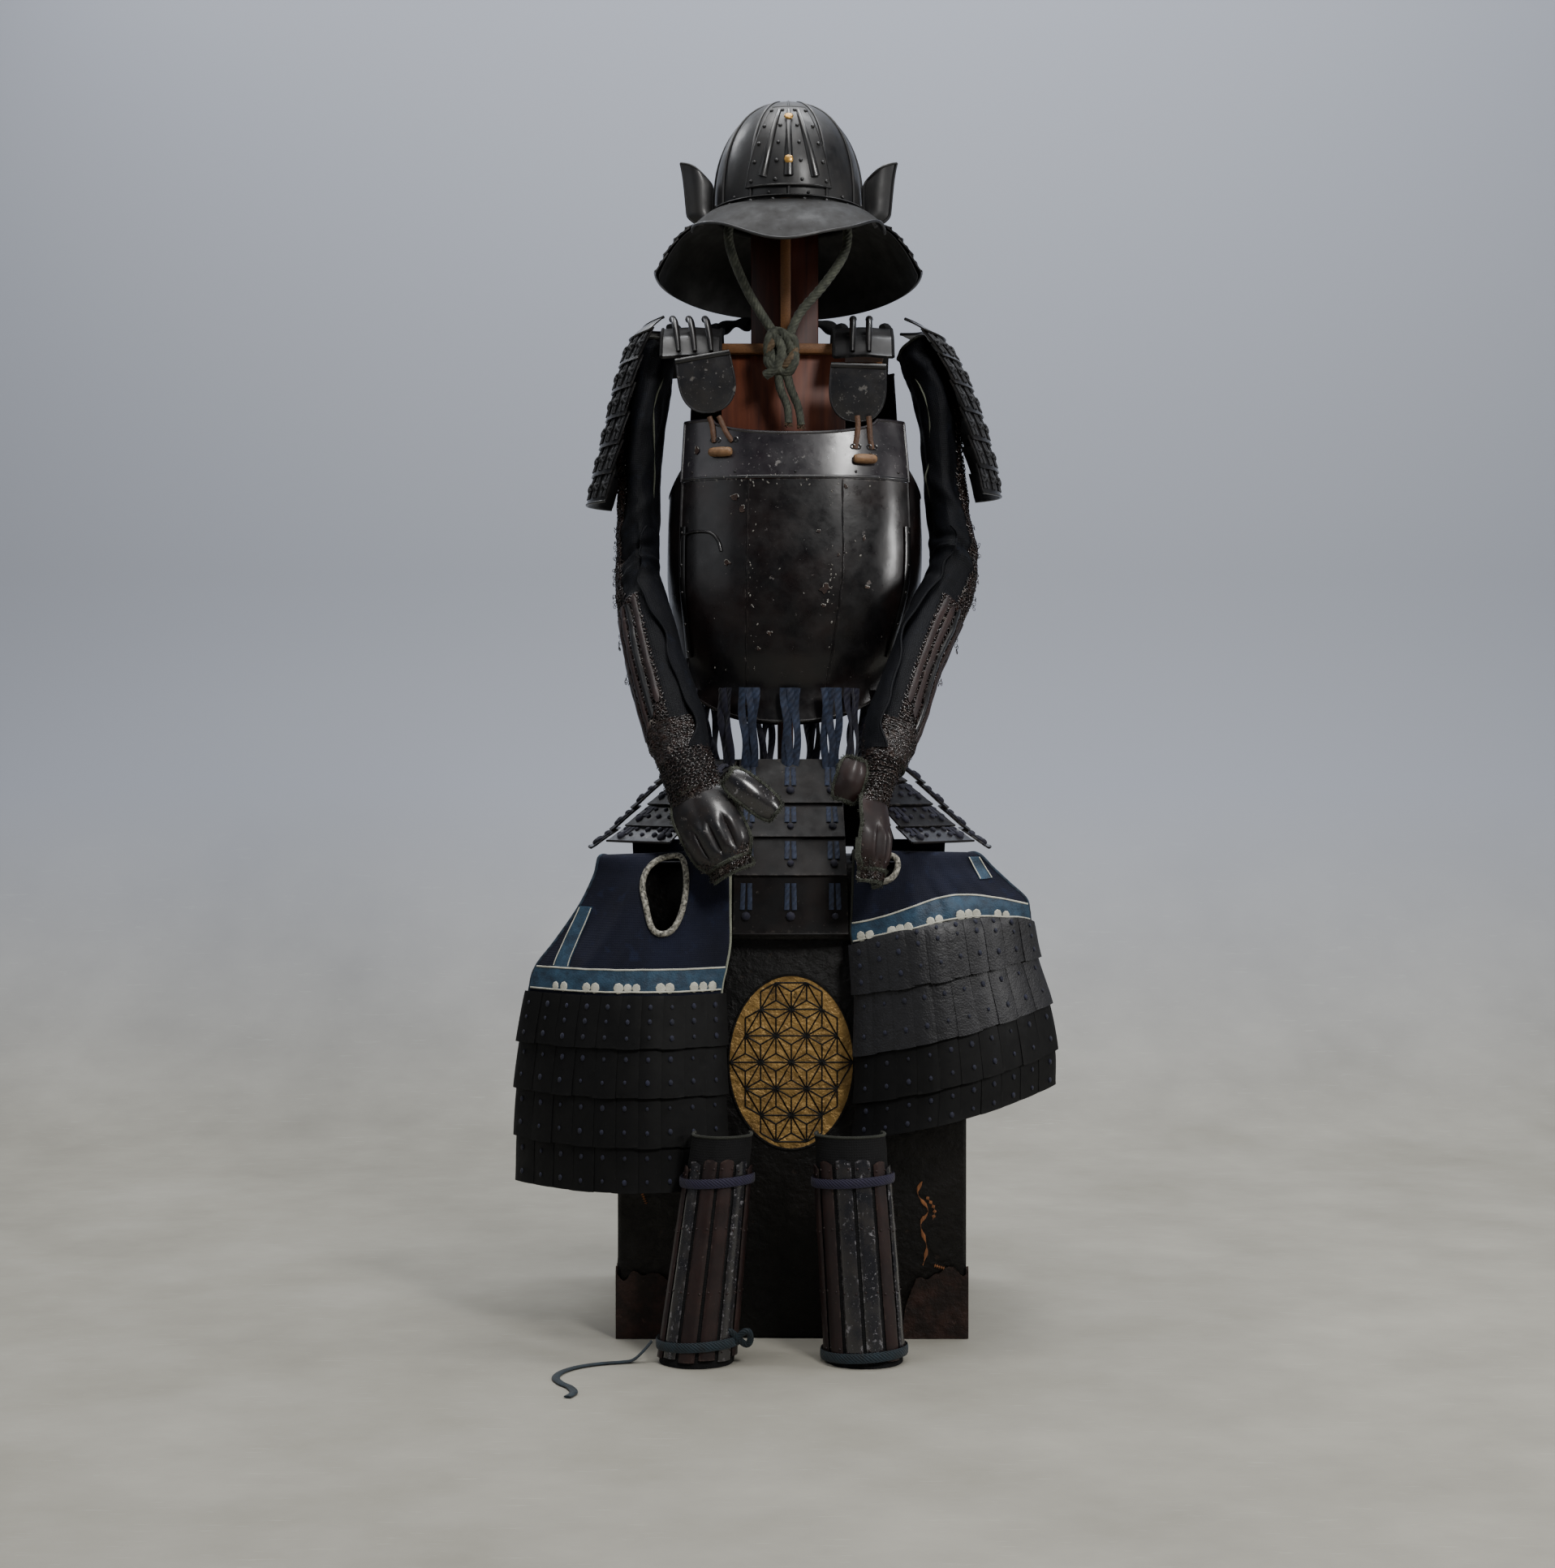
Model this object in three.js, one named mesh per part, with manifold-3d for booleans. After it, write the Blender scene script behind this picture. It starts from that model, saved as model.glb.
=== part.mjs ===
// A samurai armour set up on its wooden stand and armour box, in millimetres, +Z up.
// The front faces -Y, +X is on the viewer's right, and the origin is the middle of the box's underside.
// "left" and "right" are the viewer's.
import * as THREE from 'three';
import { mergeVertices } from 'three/addons/utils/BufferGeometryUtils.js';
import Module from 'manifold-3d';

const wasm = await Module();
wasm.setup();

// ---------- driving dimensions ----------

const GAP = 0.3;
const CLOTH = 2.5;
const IRON = 2;
const LEATHER = 2.5;

const BOX = { width: 456, depth: 400, height: 611, wall: 10, corner: 6 };
const LID = { width: 472, depth: 408, top: 620, skirt: 100 };

const POST = { x: -8, width: 22, y: 30, depth: 30, waist: 1090 };
const NECK_BOARD = { x: -9, width: 94, thick: 14, top: 1500 };
const FIN = { x: -8, thick: 14, front: -37, back: 70, top: 1612 };
const SHELF = { x: -11, width: 278, front: -45, back: 72, top: 1326, thick: 13 };
const CHEST = { x: -11, width: 170, y: -32, thick: 14, bottom: 1130 };

const HELMET = { x: -4, y: 8, base: 1510, top: 1666, half: 102, front: 118, back: 122 };
const BAND = { height: 12, proud: 1.5, wall: 3.5 };
const BUTTON = { crown: 13, foot: 15, height: 8, sink: 3 };
const PEAK = { reach: 78, drop: 62, flank: 28, end: 72, arch: 6, rise: 29 };
const NECK_GUARD = { start: 83, step: 3.5 };
const TURNBACK = { inner: 105, outer: 138, flare: 11, bottom: 1500, top: 1567, y: -13, curl: 9 };
const PLATE = { half: 56, bottom: 1527, top: 1644, bow: 0.62, proud: 4.6 };

const CORD = { diameter: 12, sides: 8 };
const TIE = { width: 10, thick: 3, sides: 8 };

const BREAST_EDGE = 60;
const PLANK_SEAM = 17.7;
const SEAM_TURN = 0.15;
const BREAST = { top: 1215, neckDip: 20, seam: 1133, bottom: 856, bottomDip: 47, rim: 7, rimStart: 0.87,
  lap: 1.5 };
const SIDE = { top: 1152, armDip: 34 };
const BACK = { top: 1300, dip: 30 };

const STRAP = { width: 80, thick: 4 };
const LEAF = { width: 72, length: 76, thick: 2.5, bar: 3, y: -101, lean: 10 };
const TOGGLE = { length: 27, thick: 11 };
const THONG = { width: 9, thick: 3, top: 1219 };

const WAIST = { x: -2, top: 759, lacingTop: 858, laceWidth: 24, lace: 2, laceSpread: 0.8 };
const TASSET_STEP = 4;

const SODE = { half: 60, curve: 30, step: 5 };

// ---------- small tools ----------

const turn = degrees => degrees * Math.PI / 180;
const mix = (a, b, t) => a + (b - a) * t;
const power = (value, exponent) => Math.sign(value) * Math.abs(value) ** exponent;
const at = (x, y, z) => new THREE.Vector3(x, y, z);

// A table of sections: the first list names the columns, and each later list is one section.
const table = (columns, ...rows) => rows.map(
  row => Object.fromEntries(columns.map((column, k) => [column, row[k]])));

// The section at t, 0 to 1 along a table, on a smooth curve through its rows.
function section(rows, t) {
  const place = Math.min(Math.max(t, 0), 1) * (rows.length - 1);
  const k = Math.min(Math.floor(place), rows.length - 2);
  const s = place - k;
  const [a, b, c, d] = [k - 1, k, k + 1, k + 2].map(n => rows[Math.min(Math.max(n, 0), rows.length - 1)]);
  const curve = name => b[name] + 0.5 * s * (c[name] - a[name]
    + s * (2 * a[name] - 5 * b[name] + 4 * c[name] - d[name]
    + s * (3 * (b[name] - c[name]) + d[name] - a[name])));
  return Object.fromEntries(Object.keys(b).map(name => [name, curve(name)]));
}

// The section of a table at height z, where the table's z column falls or rises all the way.
function sectionAt(rows, z) {
  const rising = rows[1].z > rows[0].z;
  let k = 0;
  while (k < rows.length - 2 && (rising ? z > rows[k + 1].z : z < rows[k + 1].z)) k += 1;
  const s = (z - rows[k].z) / (rows[k + 1].z - rows[k].z);
  return section(rows, (k + s) / (rows.length - 1));
}

// A closed wall of even thickness whose outer face is surface(u, v). wrap closes it round in u.
function wall(surface, acrossSteps, downSteps, thickness, { wrap = false, inward = 1 } = {}) {
  const columns = wrap ? acrossSteps : acrossSteps + 1;
  const rows = downSteps + 1;
  const outer = [];
  for (let j = 0; j < rows; j += 1) {
    for (let i = 0; i < columns; i += 1) outer.push(surface(i / acrossSteps, j / downSteps));
  }
  const point = (i, j) => {
    const column = wrap ? (i + columns) % columns : Math.min(Math.max(i, 0), columns - 1);
    return outer[Math.min(Math.max(j, 0), rows - 1) * columns + column];
  };
  const inner = outer.map((p, n) => {
    const i = n % columns;
    const j = Math.floor(n / columns);
    const across = point(i + 1, j).clone().sub(point(i - 1, j));
    const down = point(i, j + 1).clone().sub(point(i, j - 1));
    const normal = down.cross(across).normalize();
    return p.clone().addScaledVector(normal, -thickness * inward);
  });
  const index = [];
  const quad = (a, b, c, d) => index.push(a, b, c, a, c, d);
  const number = (i, j) => j * columns + (i % columns);
  const back = outer.length;
  for (let j = 0; j < downSteps; j += 1) {
    for (let i = 0; i < acrossSteps; i += 1) {
      const [a, b, c, d] = [number(i, j), number(i + 1, j), number(i + 1, j + 1), number(i, j + 1)];
      quad(a, b, c, d);
      quad(back + a, back + d, back + c, back + b);
    }
    if (!wrap) {
      const [a, d] = [number(0, j), number(0, j + 1)];
      const [b, c] = [j * columns + acrossSteps, (j + 1) * columns + acrossSteps];
      quad(a, d, back + d, back + a);
      quad(b, back + b, back + c, c);
    }
  }
  for (let i = 0; i < acrossSteps; i += 1) {
    const [a, b] = [number(i, 0), number(i + 1, 0)];
    const [d, c] = [number(i, downSteps), number(i + 1, downSteps)];
    quad(a, back + a, back + b, b);
    quad(d, c, back + c, back + d);
  }
  return faced([...outer, ...inner], index);
}

// A geometry from points and triangles, turned inside out if its faces would point inwards.
function faced(points, index) {
  let volume = 0;
  for (let k = 0; k < index.length; k += 3) {
    const [a, b, c] = [points[index[k]], points[index[k + 1]], points[index[k + 2]]];
    volume += a.dot(b.clone().cross(c));
  }
  if (volume < 0) index.reverse();
  const geometry = new THREE.BufferGeometry();
  geometry.setAttribute('position', new THREE.Float32BufferAttribute(points.flatMap(p => p.toArray()), 3));
  geometry.setIndex(index);
  return geometry;
}

function solid(geometry) {
  const bare = geometry.clone();
  bare.deleteAttribute('normal');
  bare.deleteAttribute('uv');
  const merged = mergeVertices(bare, 1e-4);
  return new wasm.Manifold(new wasm.Mesh({
    numProp: 3,
    vertProperties: new Float32Array(merged.attributes.position.array),
    triVerts: new Uint32Array(merged.index.array),
  }));
}

function geometryOf(manifold) {
  const mesh = manifold.getMesh();
  const geometry = new THREE.BufferGeometry();
  geometry.setAttribute('position', new THREE.BufferAttribute(new Float32Array(mesh.vertProperties), 3));
  geometry.setIndex(new THREE.BufferAttribute(new Uint32Array(mesh.triVerts), 1));
  return geometry;
}

const joined = (...geometries) => geometryOf(geometries.map(solid).reduce((sum, next) => sum.add(next)));
const cut = (geometry, ...holes) => geometryOf(
  holes.map(solid).reduce((left, hole) => left.subtract(hole), solid(geometry)));

// A board from its lowest and highest corners.
function board(x0, y0, z0, x1, y1, z1) {
  const geometry = new THREE.BoxGeometry(x1 - x0, y1 - y0, z1 - z0);
  return geometry.translate((x0 + x1) / 2, (y0 + y1) / 2, (z0 + z1) / 2);
}

// A flat plate of an outline drawn in X and Z, thick along Y, its front face on Y = 0.
function plateOf(outline, thickness, curveSegments = 10) {
  const geometry = new THREE.ExtrudeGeometry(outline, { depth: thickness, bevelEnabled: false, curveSegments });
  return geometry.rotateX(Math.PI / 2).translate(0, thickness, 0);
}

// A cord of an even section along its route.
function cordAlong(points, steps, width, thickness = width, sides = CORD.sides) {
  const outline = new THREE.Shape();
  for (let k = 0; k < sides; k += 1) {
    const angle = turn((k + 0.5) * 360 / sides);
    const corner = [Math.cos(angle) * thickness / 2, Math.sin(angle) * width / 2];
    if (k === 0) outline.moveTo(...corner);
    else outline.lineTo(...corner);
  }
  outline.closePath();
  const route = new THREE.CatmullRomCurve3(points);
  return new THREE.ExtrudeGeometry(outline, { steps, bevelEnabled: false, extrudePath: route });
}

// The zigzag of overlapping lames down a list of lower edges: each lame ends proud of the next by step.
function lames(edges, step) {
  const profile = [edges[0]];
  for (let k = 1; k < edges.length; k += 1) {
    const [from, to] = [edges[k - 1], edges[k]];
    const run = Math.hypot(to.out - from.out, to.z - from.z);
    const along = { out: (to.out - from.out) / run, z: (to.z - from.z) / run };
    profile.push({ out: to.out - along.z * step / 2, z: to.z + along.out * step / 2 });
    if (k < edges.length - 1) {
      profile.push({
        out: to.out + along.z * step / 2 + along.out * step,
        z: to.z - along.out * step / 2 + along.z * step,
      });
    }
  }
  return profile;
}

// The point of a zigzag at v, where v runs evenly over its corners.
function corner(profile, v) {
  return profile[Math.round(v * (profile.length - 1))];
}

// ---------- materials ----------

const paint = (color, roughness, metalness = 0) => new THREE.MeshStandardMaterial({ color, roughness, metalness });
const lacquer = paint(0x1d1b1e, 0.35);
const blackIron = paint(0x2b2b2e, 0.45, 0.3);
const brownIron = paint(0x4a2f2b, 0.55, 0.2);
const navyCloth = paint(0x171c2e, 0.9);
const blackCloth = paint(0x1b1d22, 0.9);
const scaleLeather = paint(0x232226, 0.6);
const boxLacquer = paint(0x15120f, 0.45);
const mahogany = paint(0x4a1f15, 0.6);
const plywood = paint(0xa9743f, 0.7);
const tieLeather = paint(0x6b4325, 0.7);
const hempCord = paint(0x5b5f52, 0.9);
const blueTape = paint(0x182c38, 0.9);

const armour = new THREE.Group();

function add(name, geometry, material) {
  const mesh = new THREE.Mesh(geometry, material);
  mesh.name = name;
  armour.add(mesh);
  return mesh;
}

// ---------- the armour box ----------

function roundedBlock(width, depth, bottom, top, corner) {
  const [a, b] = [width / 2, depth / 2];
  const outline = new THREE.Shape();
  outline.moveTo(-a + corner, -b);
  outline.lineTo(a - corner, -b);
  outline.absarc(a - corner, -b + corner, corner, turn(-90), 0);
  outline.absarc(a - corner, b - corner, corner, 0, turn(90));
  outline.absarc(-a + corner, b - corner, corner, turn(90), turn(180));
  outline.absarc(-a + corner, -b + corner, corner, turn(180), turn(270));
  const settings = { depth: top - bottom, bevelEnabled: false, curveSegments: 3 };
  return new THREE.ExtrudeGeometry(outline, settings).translate(0, 0, bottom);
}

function armourBox() {
  const body = cut(
    roundedBlock(BOX.width, BOX.depth, 0, BOX.height, BOX.corner),
    board(
      -BOX.width / 2 + BOX.wall, -BOX.depth / 2 + BOX.wall, BOX.wall,
      BOX.width / 2 - BOX.wall, BOX.depth / 2 - BOX.wall, BOX.height + 1));
  add('box_body', body, boxLacquer);
  const ceiling = BOX.height + GAP;
  const lid = cut(
    roundedBlock(LID.width, LID.depth, LID.top - LID.skirt, LID.top, BOX.corner),
    board(
      -BOX.width / 2 - GAP, -BOX.depth / 2 - GAP, LID.top - LID.skirt - 1,
      BOX.width / 2 + GAP, BOX.depth / 2 + GAP, ceiling));
  add('box_lid', lid, boxLacquer);
}

// ---------- the wooden cross stand ----------

function stand() {
  const underShelf = SHELF.top - SHELF.thick;
  const post = board(
    POST.x - POST.width / 2, POST.y, LID.top + GAP,
    POST.x + POST.width / 2, POST.y + POST.depth, POST.waist + 1);
  const neckBoard = board(
    NECK_BOARD.x - NECK_BOARD.width / 2, POST.y, POST.waist,
    NECK_BOARD.x + NECK_BOARD.width / 2, POST.y + NECK_BOARD.thick, NECK_BOARD.top);
  const fin = board(
    FIN.x - FIN.thick / 2, FIN.front, SHELF.top + GAP, FIN.x + FIN.thick / 2, POST.y + 1, NECK_BOARD.top);
  const crown = board(
    FIN.x - FIN.thick / 2, FIN.front, NECK_BOARD.top - 1, FIN.x + FIN.thick / 2, FIN.back, FIN.top);
  add('stand_post', joined(post, neckBoard, fin, crown), mahogany);
  const shelf = board(
    SHELF.x - SHELF.width / 2, SHELF.front, underShelf, SHELF.x + SHELF.width / 2, SHELF.back, SHELF.top);
  const slot = board(
    NECK_BOARD.x - NECK_BOARD.width / 2 - GAP, POST.y - GAP, underShelf - 1,
    NECK_BOARD.x + NECK_BOARD.width / 2 + GAP, POST.y + NECK_BOARD.thick + GAP, SHELF.top + 1);
  add('stand_shelf', cut(shelf, slot), plywood);
  const chest = board(
    CHEST.x - CHEST.width / 2, CHEST.y, CHEST.bottom,
    CHEST.x + CHEST.width / 2, CHEST.y + CHEST.thick, underShelf - GAP);
  add('stand_chest_board', chest, mahogany);
}

// ---------- the helmet ----------

// The bowl's outer face: turn angle a in degrees from the front, and height share t from base to crown.
function bowlPoint(a, t) {
  const swell = Math.sqrt(Math.max(1 - t ** 2.6, 0));
  const depth = Math.cos(turn(a)) > 0 ? HELMET.front : HELMET.back;
  return at(
    HELMET.x + HELMET.half * swell * Math.sin(turn(a)),
    HELMET.y - depth * swell * Math.cos(turn(a)),
    mix(HELMET.base, HELMET.top, t));
}

function helmetBowl() {
  const crown = 0.995;
  const around = 20;
  const upSteps = 7;
  const face = (u, v) => {
    const t = crown * Math.sin(turn(90 * (1 - v)));
    return bowlPoint(360 * u, t);
  };
  const dome = wall(face, around, upSteps, IRON + 0.5, { wrap: true });
  const button = new THREE.CylinderGeometry(BUTTON.crown, BUTTON.foot, BUTTON.height, 8).rotateX(Math.PI / 2);
  button.translate(HELMET.x, HELMET.y, HELMET.top - BUTTON.sink);
  const middle = [HELMET.x, HELMET.y + (HELMET.back - HELMET.front) / 2, HELMET.base + BAND.height / 2];
  const long = (HELMET.front + HELMET.back) / 2;
  const hoop = (grow, height) => new THREE.CylinderGeometry(1, 1, height, around).rotateX(Math.PI / 2)
    .scale(HELMET.half + grow, long + grow, 1).translate(...middle);
  const band = hoop(BAND.proud, BAND.height);
  const bore = hoop(BAND.proud - BAND.wall, BAND.height + 8);
  add('helmet_bowl', joined(dome, button, cut(band, bore)), blackIron);
}

// The peak springs from under the bowl's front and flares down and out to a wavy edge.
function helmetPeak() {
  const face = (u, v) => {
    const a = mix(-PEAK.end, PEAK.end, u);
    const rim = bowlPoint(a, 0);
    const forward = Math.cos(turn(a)) ** 1.6;
    const out = v * mix(PEAK.flank, PEAK.reach, forward);
    const arch = PEAK.arch * Math.sin(turn(a * 2)) ** 2 + PEAK.rise * Math.sin(turn(a * 90 / PEAK.end)) ** 2;
    return at(
      rim.x + out * Math.sin(turn(a)) * 1.05,
      rim.y - out * Math.max(Math.cos(turn(a)), 0),
      HELMET.base - 1 - PEAK.drop * v ** 1.35 + arch * v);
  };
  add('helmet_peak', wall(face, 16, 3, IRON), blackIron);
}

// The neck guard: rounded rings of lames round the back, each proud of the next.
function neckGuard() {
  const edges = table(['out', 'z', 'rear'],
    [3, HELMET.base - 2, 0],
    [22, 1500, 3],
    [41, 1490, 6],
    [56, 1474, 11],
    [70, 1453, 18],
    [81, 1430, 27]);
  const profile = lames(edges, NECK_GUARD.step);
  const rear = edges.flatMap((edge, k) => (k > 0 && k < edges.length - 1 ? [edge.rear, edge.rear] : [edge.rear]));
  const face = (u, v) => {
    const a = mix(NECK_GUARD.start, 360 - NECK_GUARD.start, u);
    const { out, z } = corner(profile, v);
    const rim = bowlPoint(a, 0);
    const behind = Math.max(-Math.cos(turn(a)), 0);
    const radial = at(Math.sin(turn(a)), -Math.cos(turn(a)), 0);
    const low = rear[Math.round(v * (rear.length - 1))] * behind;
    return at(rim.x + out * radial.x, rim.y + (out * 0.8) * radial.y, z - low);
  };
  add('neck_guard', wall(face, 16, profile.length - 1, IRON), lacquer);
}

// Each turnback is the guard's front end curled back like an ear, its tip flared outwards.
function turnback(name, side) {
  const face = (u, v) => {
    const s = mix(-1, 1, u);
    const inner = TURNBACK.inner + 16 * Math.max(4 * v - 3, 0) ** 2;
    const outer = TURNBACK.outer + TURNBACK.flare * v ** 3 - 20 * Math.max(1 - 5 * v, 0) ** 2;
    return at(
      HELMET.x + side * mix(inner, outer, u),
      TURNBACK.y - TURNBACK.curl * Math.cos(turn(80 * s)),
      mix(TURNBACK.bottom, TURNBACK.top, v) + s * mix(-9, 12, v));
  };
  add(name, wall(face, 6, 8, IRON, { inward: -side }), blackIron);
}

// A plain riveted front plate with three tapered bars stands on the bowl.
function frontPlate() {
  const face = (u, v) => {
    const s = mix(-1, 1, u);
    const t = mix(PLATE.bottom, PLATE.top, v);
    const share = (t - HELMET.base) / (HELMET.top - HELMET.base);
    const wide = PLATE.half * (1 - 0.35 * v);
    const p = bowlPoint(s * wide * PLATE.bow, share);
    return p.setY(p.y - PLATE.proud);
  };
  add('helmet_front_plate', wall(face, 6, 6, IRON, { inward: -1 }), blackIron);
}

// ---------- the chin cord ----------

const KNOT = { x: -14, y: -80, z: 1306, half: 23, depth: 12, height: 26 };
const LEFT_STRAND = [[-80, -52, 1497], [-86, -62, 1474], [-80, -72, 1440], [-60, -78, 1392], [-38, -80, 1355],
  [-24, -80, 1333.5]];
const RIGHT_STRAND = [[68, -52, 1497], [76, -62, 1474], [70, -72, 1440], [44, -78, 1400], [12, -80, 1362],
  [-2, -80, 1333.5]];
const TAILS = [[[-17, -80, 1292], [-16, -78, 1262], [-6, -77, 1236], [-4, -77, 1213]],
  [[-9, -80, 1292], [-2, -79, 1262], [9, -78, 1234], [13, -78, 1210]]];

function chinCord() {
  const strands = { chin_cord_left: LEFT_STRAND, chin_cord_right: RIGHT_STRAND };
  for (const [name, route] of Object.entries(strands)) {
    add(name, cordAlong(route.map(p => at(...p)), 10, CORD.diameter), hempCord);
  }
  const knot = new THREE.SphereGeometry(1, 10, 8).scale(KNOT.half, KNOT.depth, KNOT.height);
  knot.translate(KNOT.x, KNOT.y, KNOT.z);
  const tails = TAILS.map(route => cordAlong(route.map(p => at(...p)), 6, CORD.diameter - 3));
  add('chin_knot', joined(knot, ...tails), hempCord);
}

// ---------- the cuirass ----------

// Outer sections of the cuirass: middle, half width, and depth in front and behind.
const TORSO = table(['z', 'x', 'half', 'front', 'back'],
  [1330, 3, 160, 100, 104],
  [1215, 4, 167, 110, 122],
  [1133, 5, 173, 124, 130],
  [1000, 4, 175, 134, 132],
  [900, -3, 157, 127, 121],
  [850, -7, 145, 119, 113],
  [800, -9, 139, 115, 110]);
const SQUARE = 0.85;

function torso(a, z, out = 0) {
  const s = sectionAt(TORSO, z);
  const depth = Math.cos(turn(a)) > 0 ? s.front : s.back;
  return at(
    s.x + (s.half + out) * power(Math.sin(turn(a)), SQUARE),
    -(depth + out) * power(Math.cos(turn(a)), SQUARE),
    z);
}

// The turn angle of the cuirass front at a given x.
function angleAt(x, z) {
  const s = sectionAt(TORSO, z);
  return Math.asin(power((x - s.x) / s.half, 1 / SQUARE)) * 180 / Math.PI;
}

const frontBottom = a => BREAST.bottom - BREAST.bottomDip * Math.max(Math.cos(turn(a * 1.5)), 0) ** 0.8;
const neckline = a => BREAST.top - BREAST.neckDip * Math.max(Math.cos(turn(a * 2.4)), 0) ** 0.5;
const rimFlare = v => BREAST.rim * Math.max((v - BREAST.rimStart) / (1 - BREAST.rimStart), 0);

function cuirass() {
  const top = (u, v) => {
    const a = mix(-BREAST_EDGE, BREAST_EDGE, u);
    return torso(a, mix(neckline(a), BREAST.seam + GAP, v), BREAST.lap);
  };
  add('breast_top', wall(top, 16, 2, IRON), lacquer);
  const planks = table(['name', 'from', 'to', 'steps'],
    ['breast_plank_left', -BREAST_EDGE, -PLANK_SEAM, 5],
    ['breast_plank_centre', -PLANK_SEAM, PLANK_SEAM, 6],
    ['breast_plank_right', PLANK_SEAM, BREAST_EDGE, 5]);
  for (const plank of planks) {
    const face = (u, v) => {
      const a = mix(plank.from + SEAM_TURN, plank.to - SEAM_TURN, u);
      return torso(a, mix(BREAST.seam - GAP, frontBottom(a), v), rimFlare(v));
    };
    add(plank.name, wall(face, plank.steps, 8, IRON), lacquer);
  }
  for (const [name, from, to] of [['side_plate_left', -119.7, -60.3], ['side_plate_right', 60.3, 119.7]]) {
    const face = (u, v) => {
      const a = mix(from, to, u);
      const armhole = SIDE.top - SIDE.armDip * Math.sin(Math.PI * u);
      return torso(a, mix(armhole, BREAST.bottom, v), rimFlare(v));
    };
    add(name, wall(face, 5, 7, IRON), lacquer);
  }
  const back = (u, v) => {
    const a = mix(120.3, 239.7, u);
    const shoulder = BACK.top - BACK.dip * Math.sin(Math.PI * u) ** 4;
    const waist = frontBottom(180 - a);
    return torso(a, mix(shoulder, waist, v), rimFlare(v));
  };
  add('back_plate', wall(back, 12, 8, IRON), lacquer);
}

// ---------- the shoulder straps, their leaves and ties ----------

const STRAP_PATH = table(['y', 'z'],
  [112, 1304],
  [98, 1328],
  [50, 1345],
  [-20, 1350],
  [-66, 1334],
  [-92, 1302]);

function strap(name, x, tilt) {
  const face = (u, v) => {
    const { y, z } = section(STRAP_PATH, v);
    const s = mix(-0.5, 0.5, u);
    return at(x + s * STRAP.width, y, z + s * tilt);
  };
  add(name, wall(face, 2, 8, STRAP.thick), lacquer);
}

function leaf(name, x, z, tilt) {
  const half = LEAF.width / 2;
  const outline = new THREE.Shape();
  outline.moveTo(-half * 0.9, 0);
  outline.lineTo(half * 0.9, 0);
  outline.bezierCurveTo(half * 1.2, -LEAF.length * 0.5, half, -LEAF.length, 0, -LEAF.length);
  outline.bezierCurveTo(-half, -LEAF.length, -half * 1.2, -LEAF.length * 0.5, -half * 0.9, 0);
  const plate = plateOf(outline, LEAF.thick, 8);
  const bar = new THREE.CylinderGeometry(LEAF.bar, LEAF.bar, half * 1.9, 8).rotateZ(Math.PI / 2);
  bar.translate(0, LEAF.thick / 2, -1);
  const mesh = add(name, joined(plate, bar), blackIron);
  mesh.position.set(x, LEAF.y, z);
  mesh.rotation.set(turn(LEAF.lean), turn(tilt), 0, 'YXZ');
}

// Two leather thongs run from behind the leaf down to a toggle on the breast.
function strapTie(name, x, from, to, z) {
  const onBreast = (px, pz) => torso(angleAt(px, pz), pz, BREAST.lap).y - GAP - 1.6;
  const thong = (x0, x1) => {
    const face = (u, v) => {
      const height = mix(THONG.top, z + 1, v);
      const px = mix(x0, x1, v) + mix(-0.5, 0.5, u) * THONG.width;
      return at(px, onBreast(px, height) - THONG.thick, height);
    };
    return wall(face, 1, 3, THONG.thick);
  };
  const reach = TOGGLE.length / 2;
  const slope = Math.atan2(onBreast(x + reach, z) - onBreast(x - reach, z), TOGGLE.length);
  const toggle = new THREE.CapsuleGeometry(TOGGLE.thick / 2, TOGGLE.length - TOGGLE.thick, 2, 8);
  toggle.rotateZ(Math.PI / 2 + slope).translate(x, onBreast(x, z) - TOGGLE.thick / 2 - 0.6, z);
  add(name, joined(toggle, thong(from[0], to[0]), thong(from[1], to[1])), tieLeather);
}

// ---------- the tassets and their lacing ----------

// Each panel hangs by its laces from the waist and is splayed over the box by its own profile.
const TASSET_PROFILES = {
  front: table(['out', 'z'], [124, 759], [160, 699], [196, 655], [220, 606], [223, 531]),
  corner: table(['out', 'z'], [140, 757], [182, 727], [222, 696], [256, 668], [282, 648]),
  side: table(['out', 'z'], [150, 759], [187, 724], [219, 690], [248, 660], [276, 636]),
  back: table(['out', 'z'], [124, 759], [146, 722], [164, 690], [178, 662], [188, 632]),
};
const TASSETS = table(['name', 'profile', 'turn', 'top', 'bottom', 'laces'],
  ['tasset_front', 'front', 0, 68, 75, 3],
  ['tasset_front_left', 'corner', -46, 37, 62, 2],
  ['tasset_front_right', 'corner', 46, 37, 62, 2],
  ['tasset_side_left', 'side', -88, 44, 64, 2],
  ['tasset_side_right', 'side', 88, 44, 64, 2],
  ['tasset_back_left', 'back', -148, 52, 66, 2],
  ['tasset_back_right', 'back', 148, 52, 66, 2]);

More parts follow.
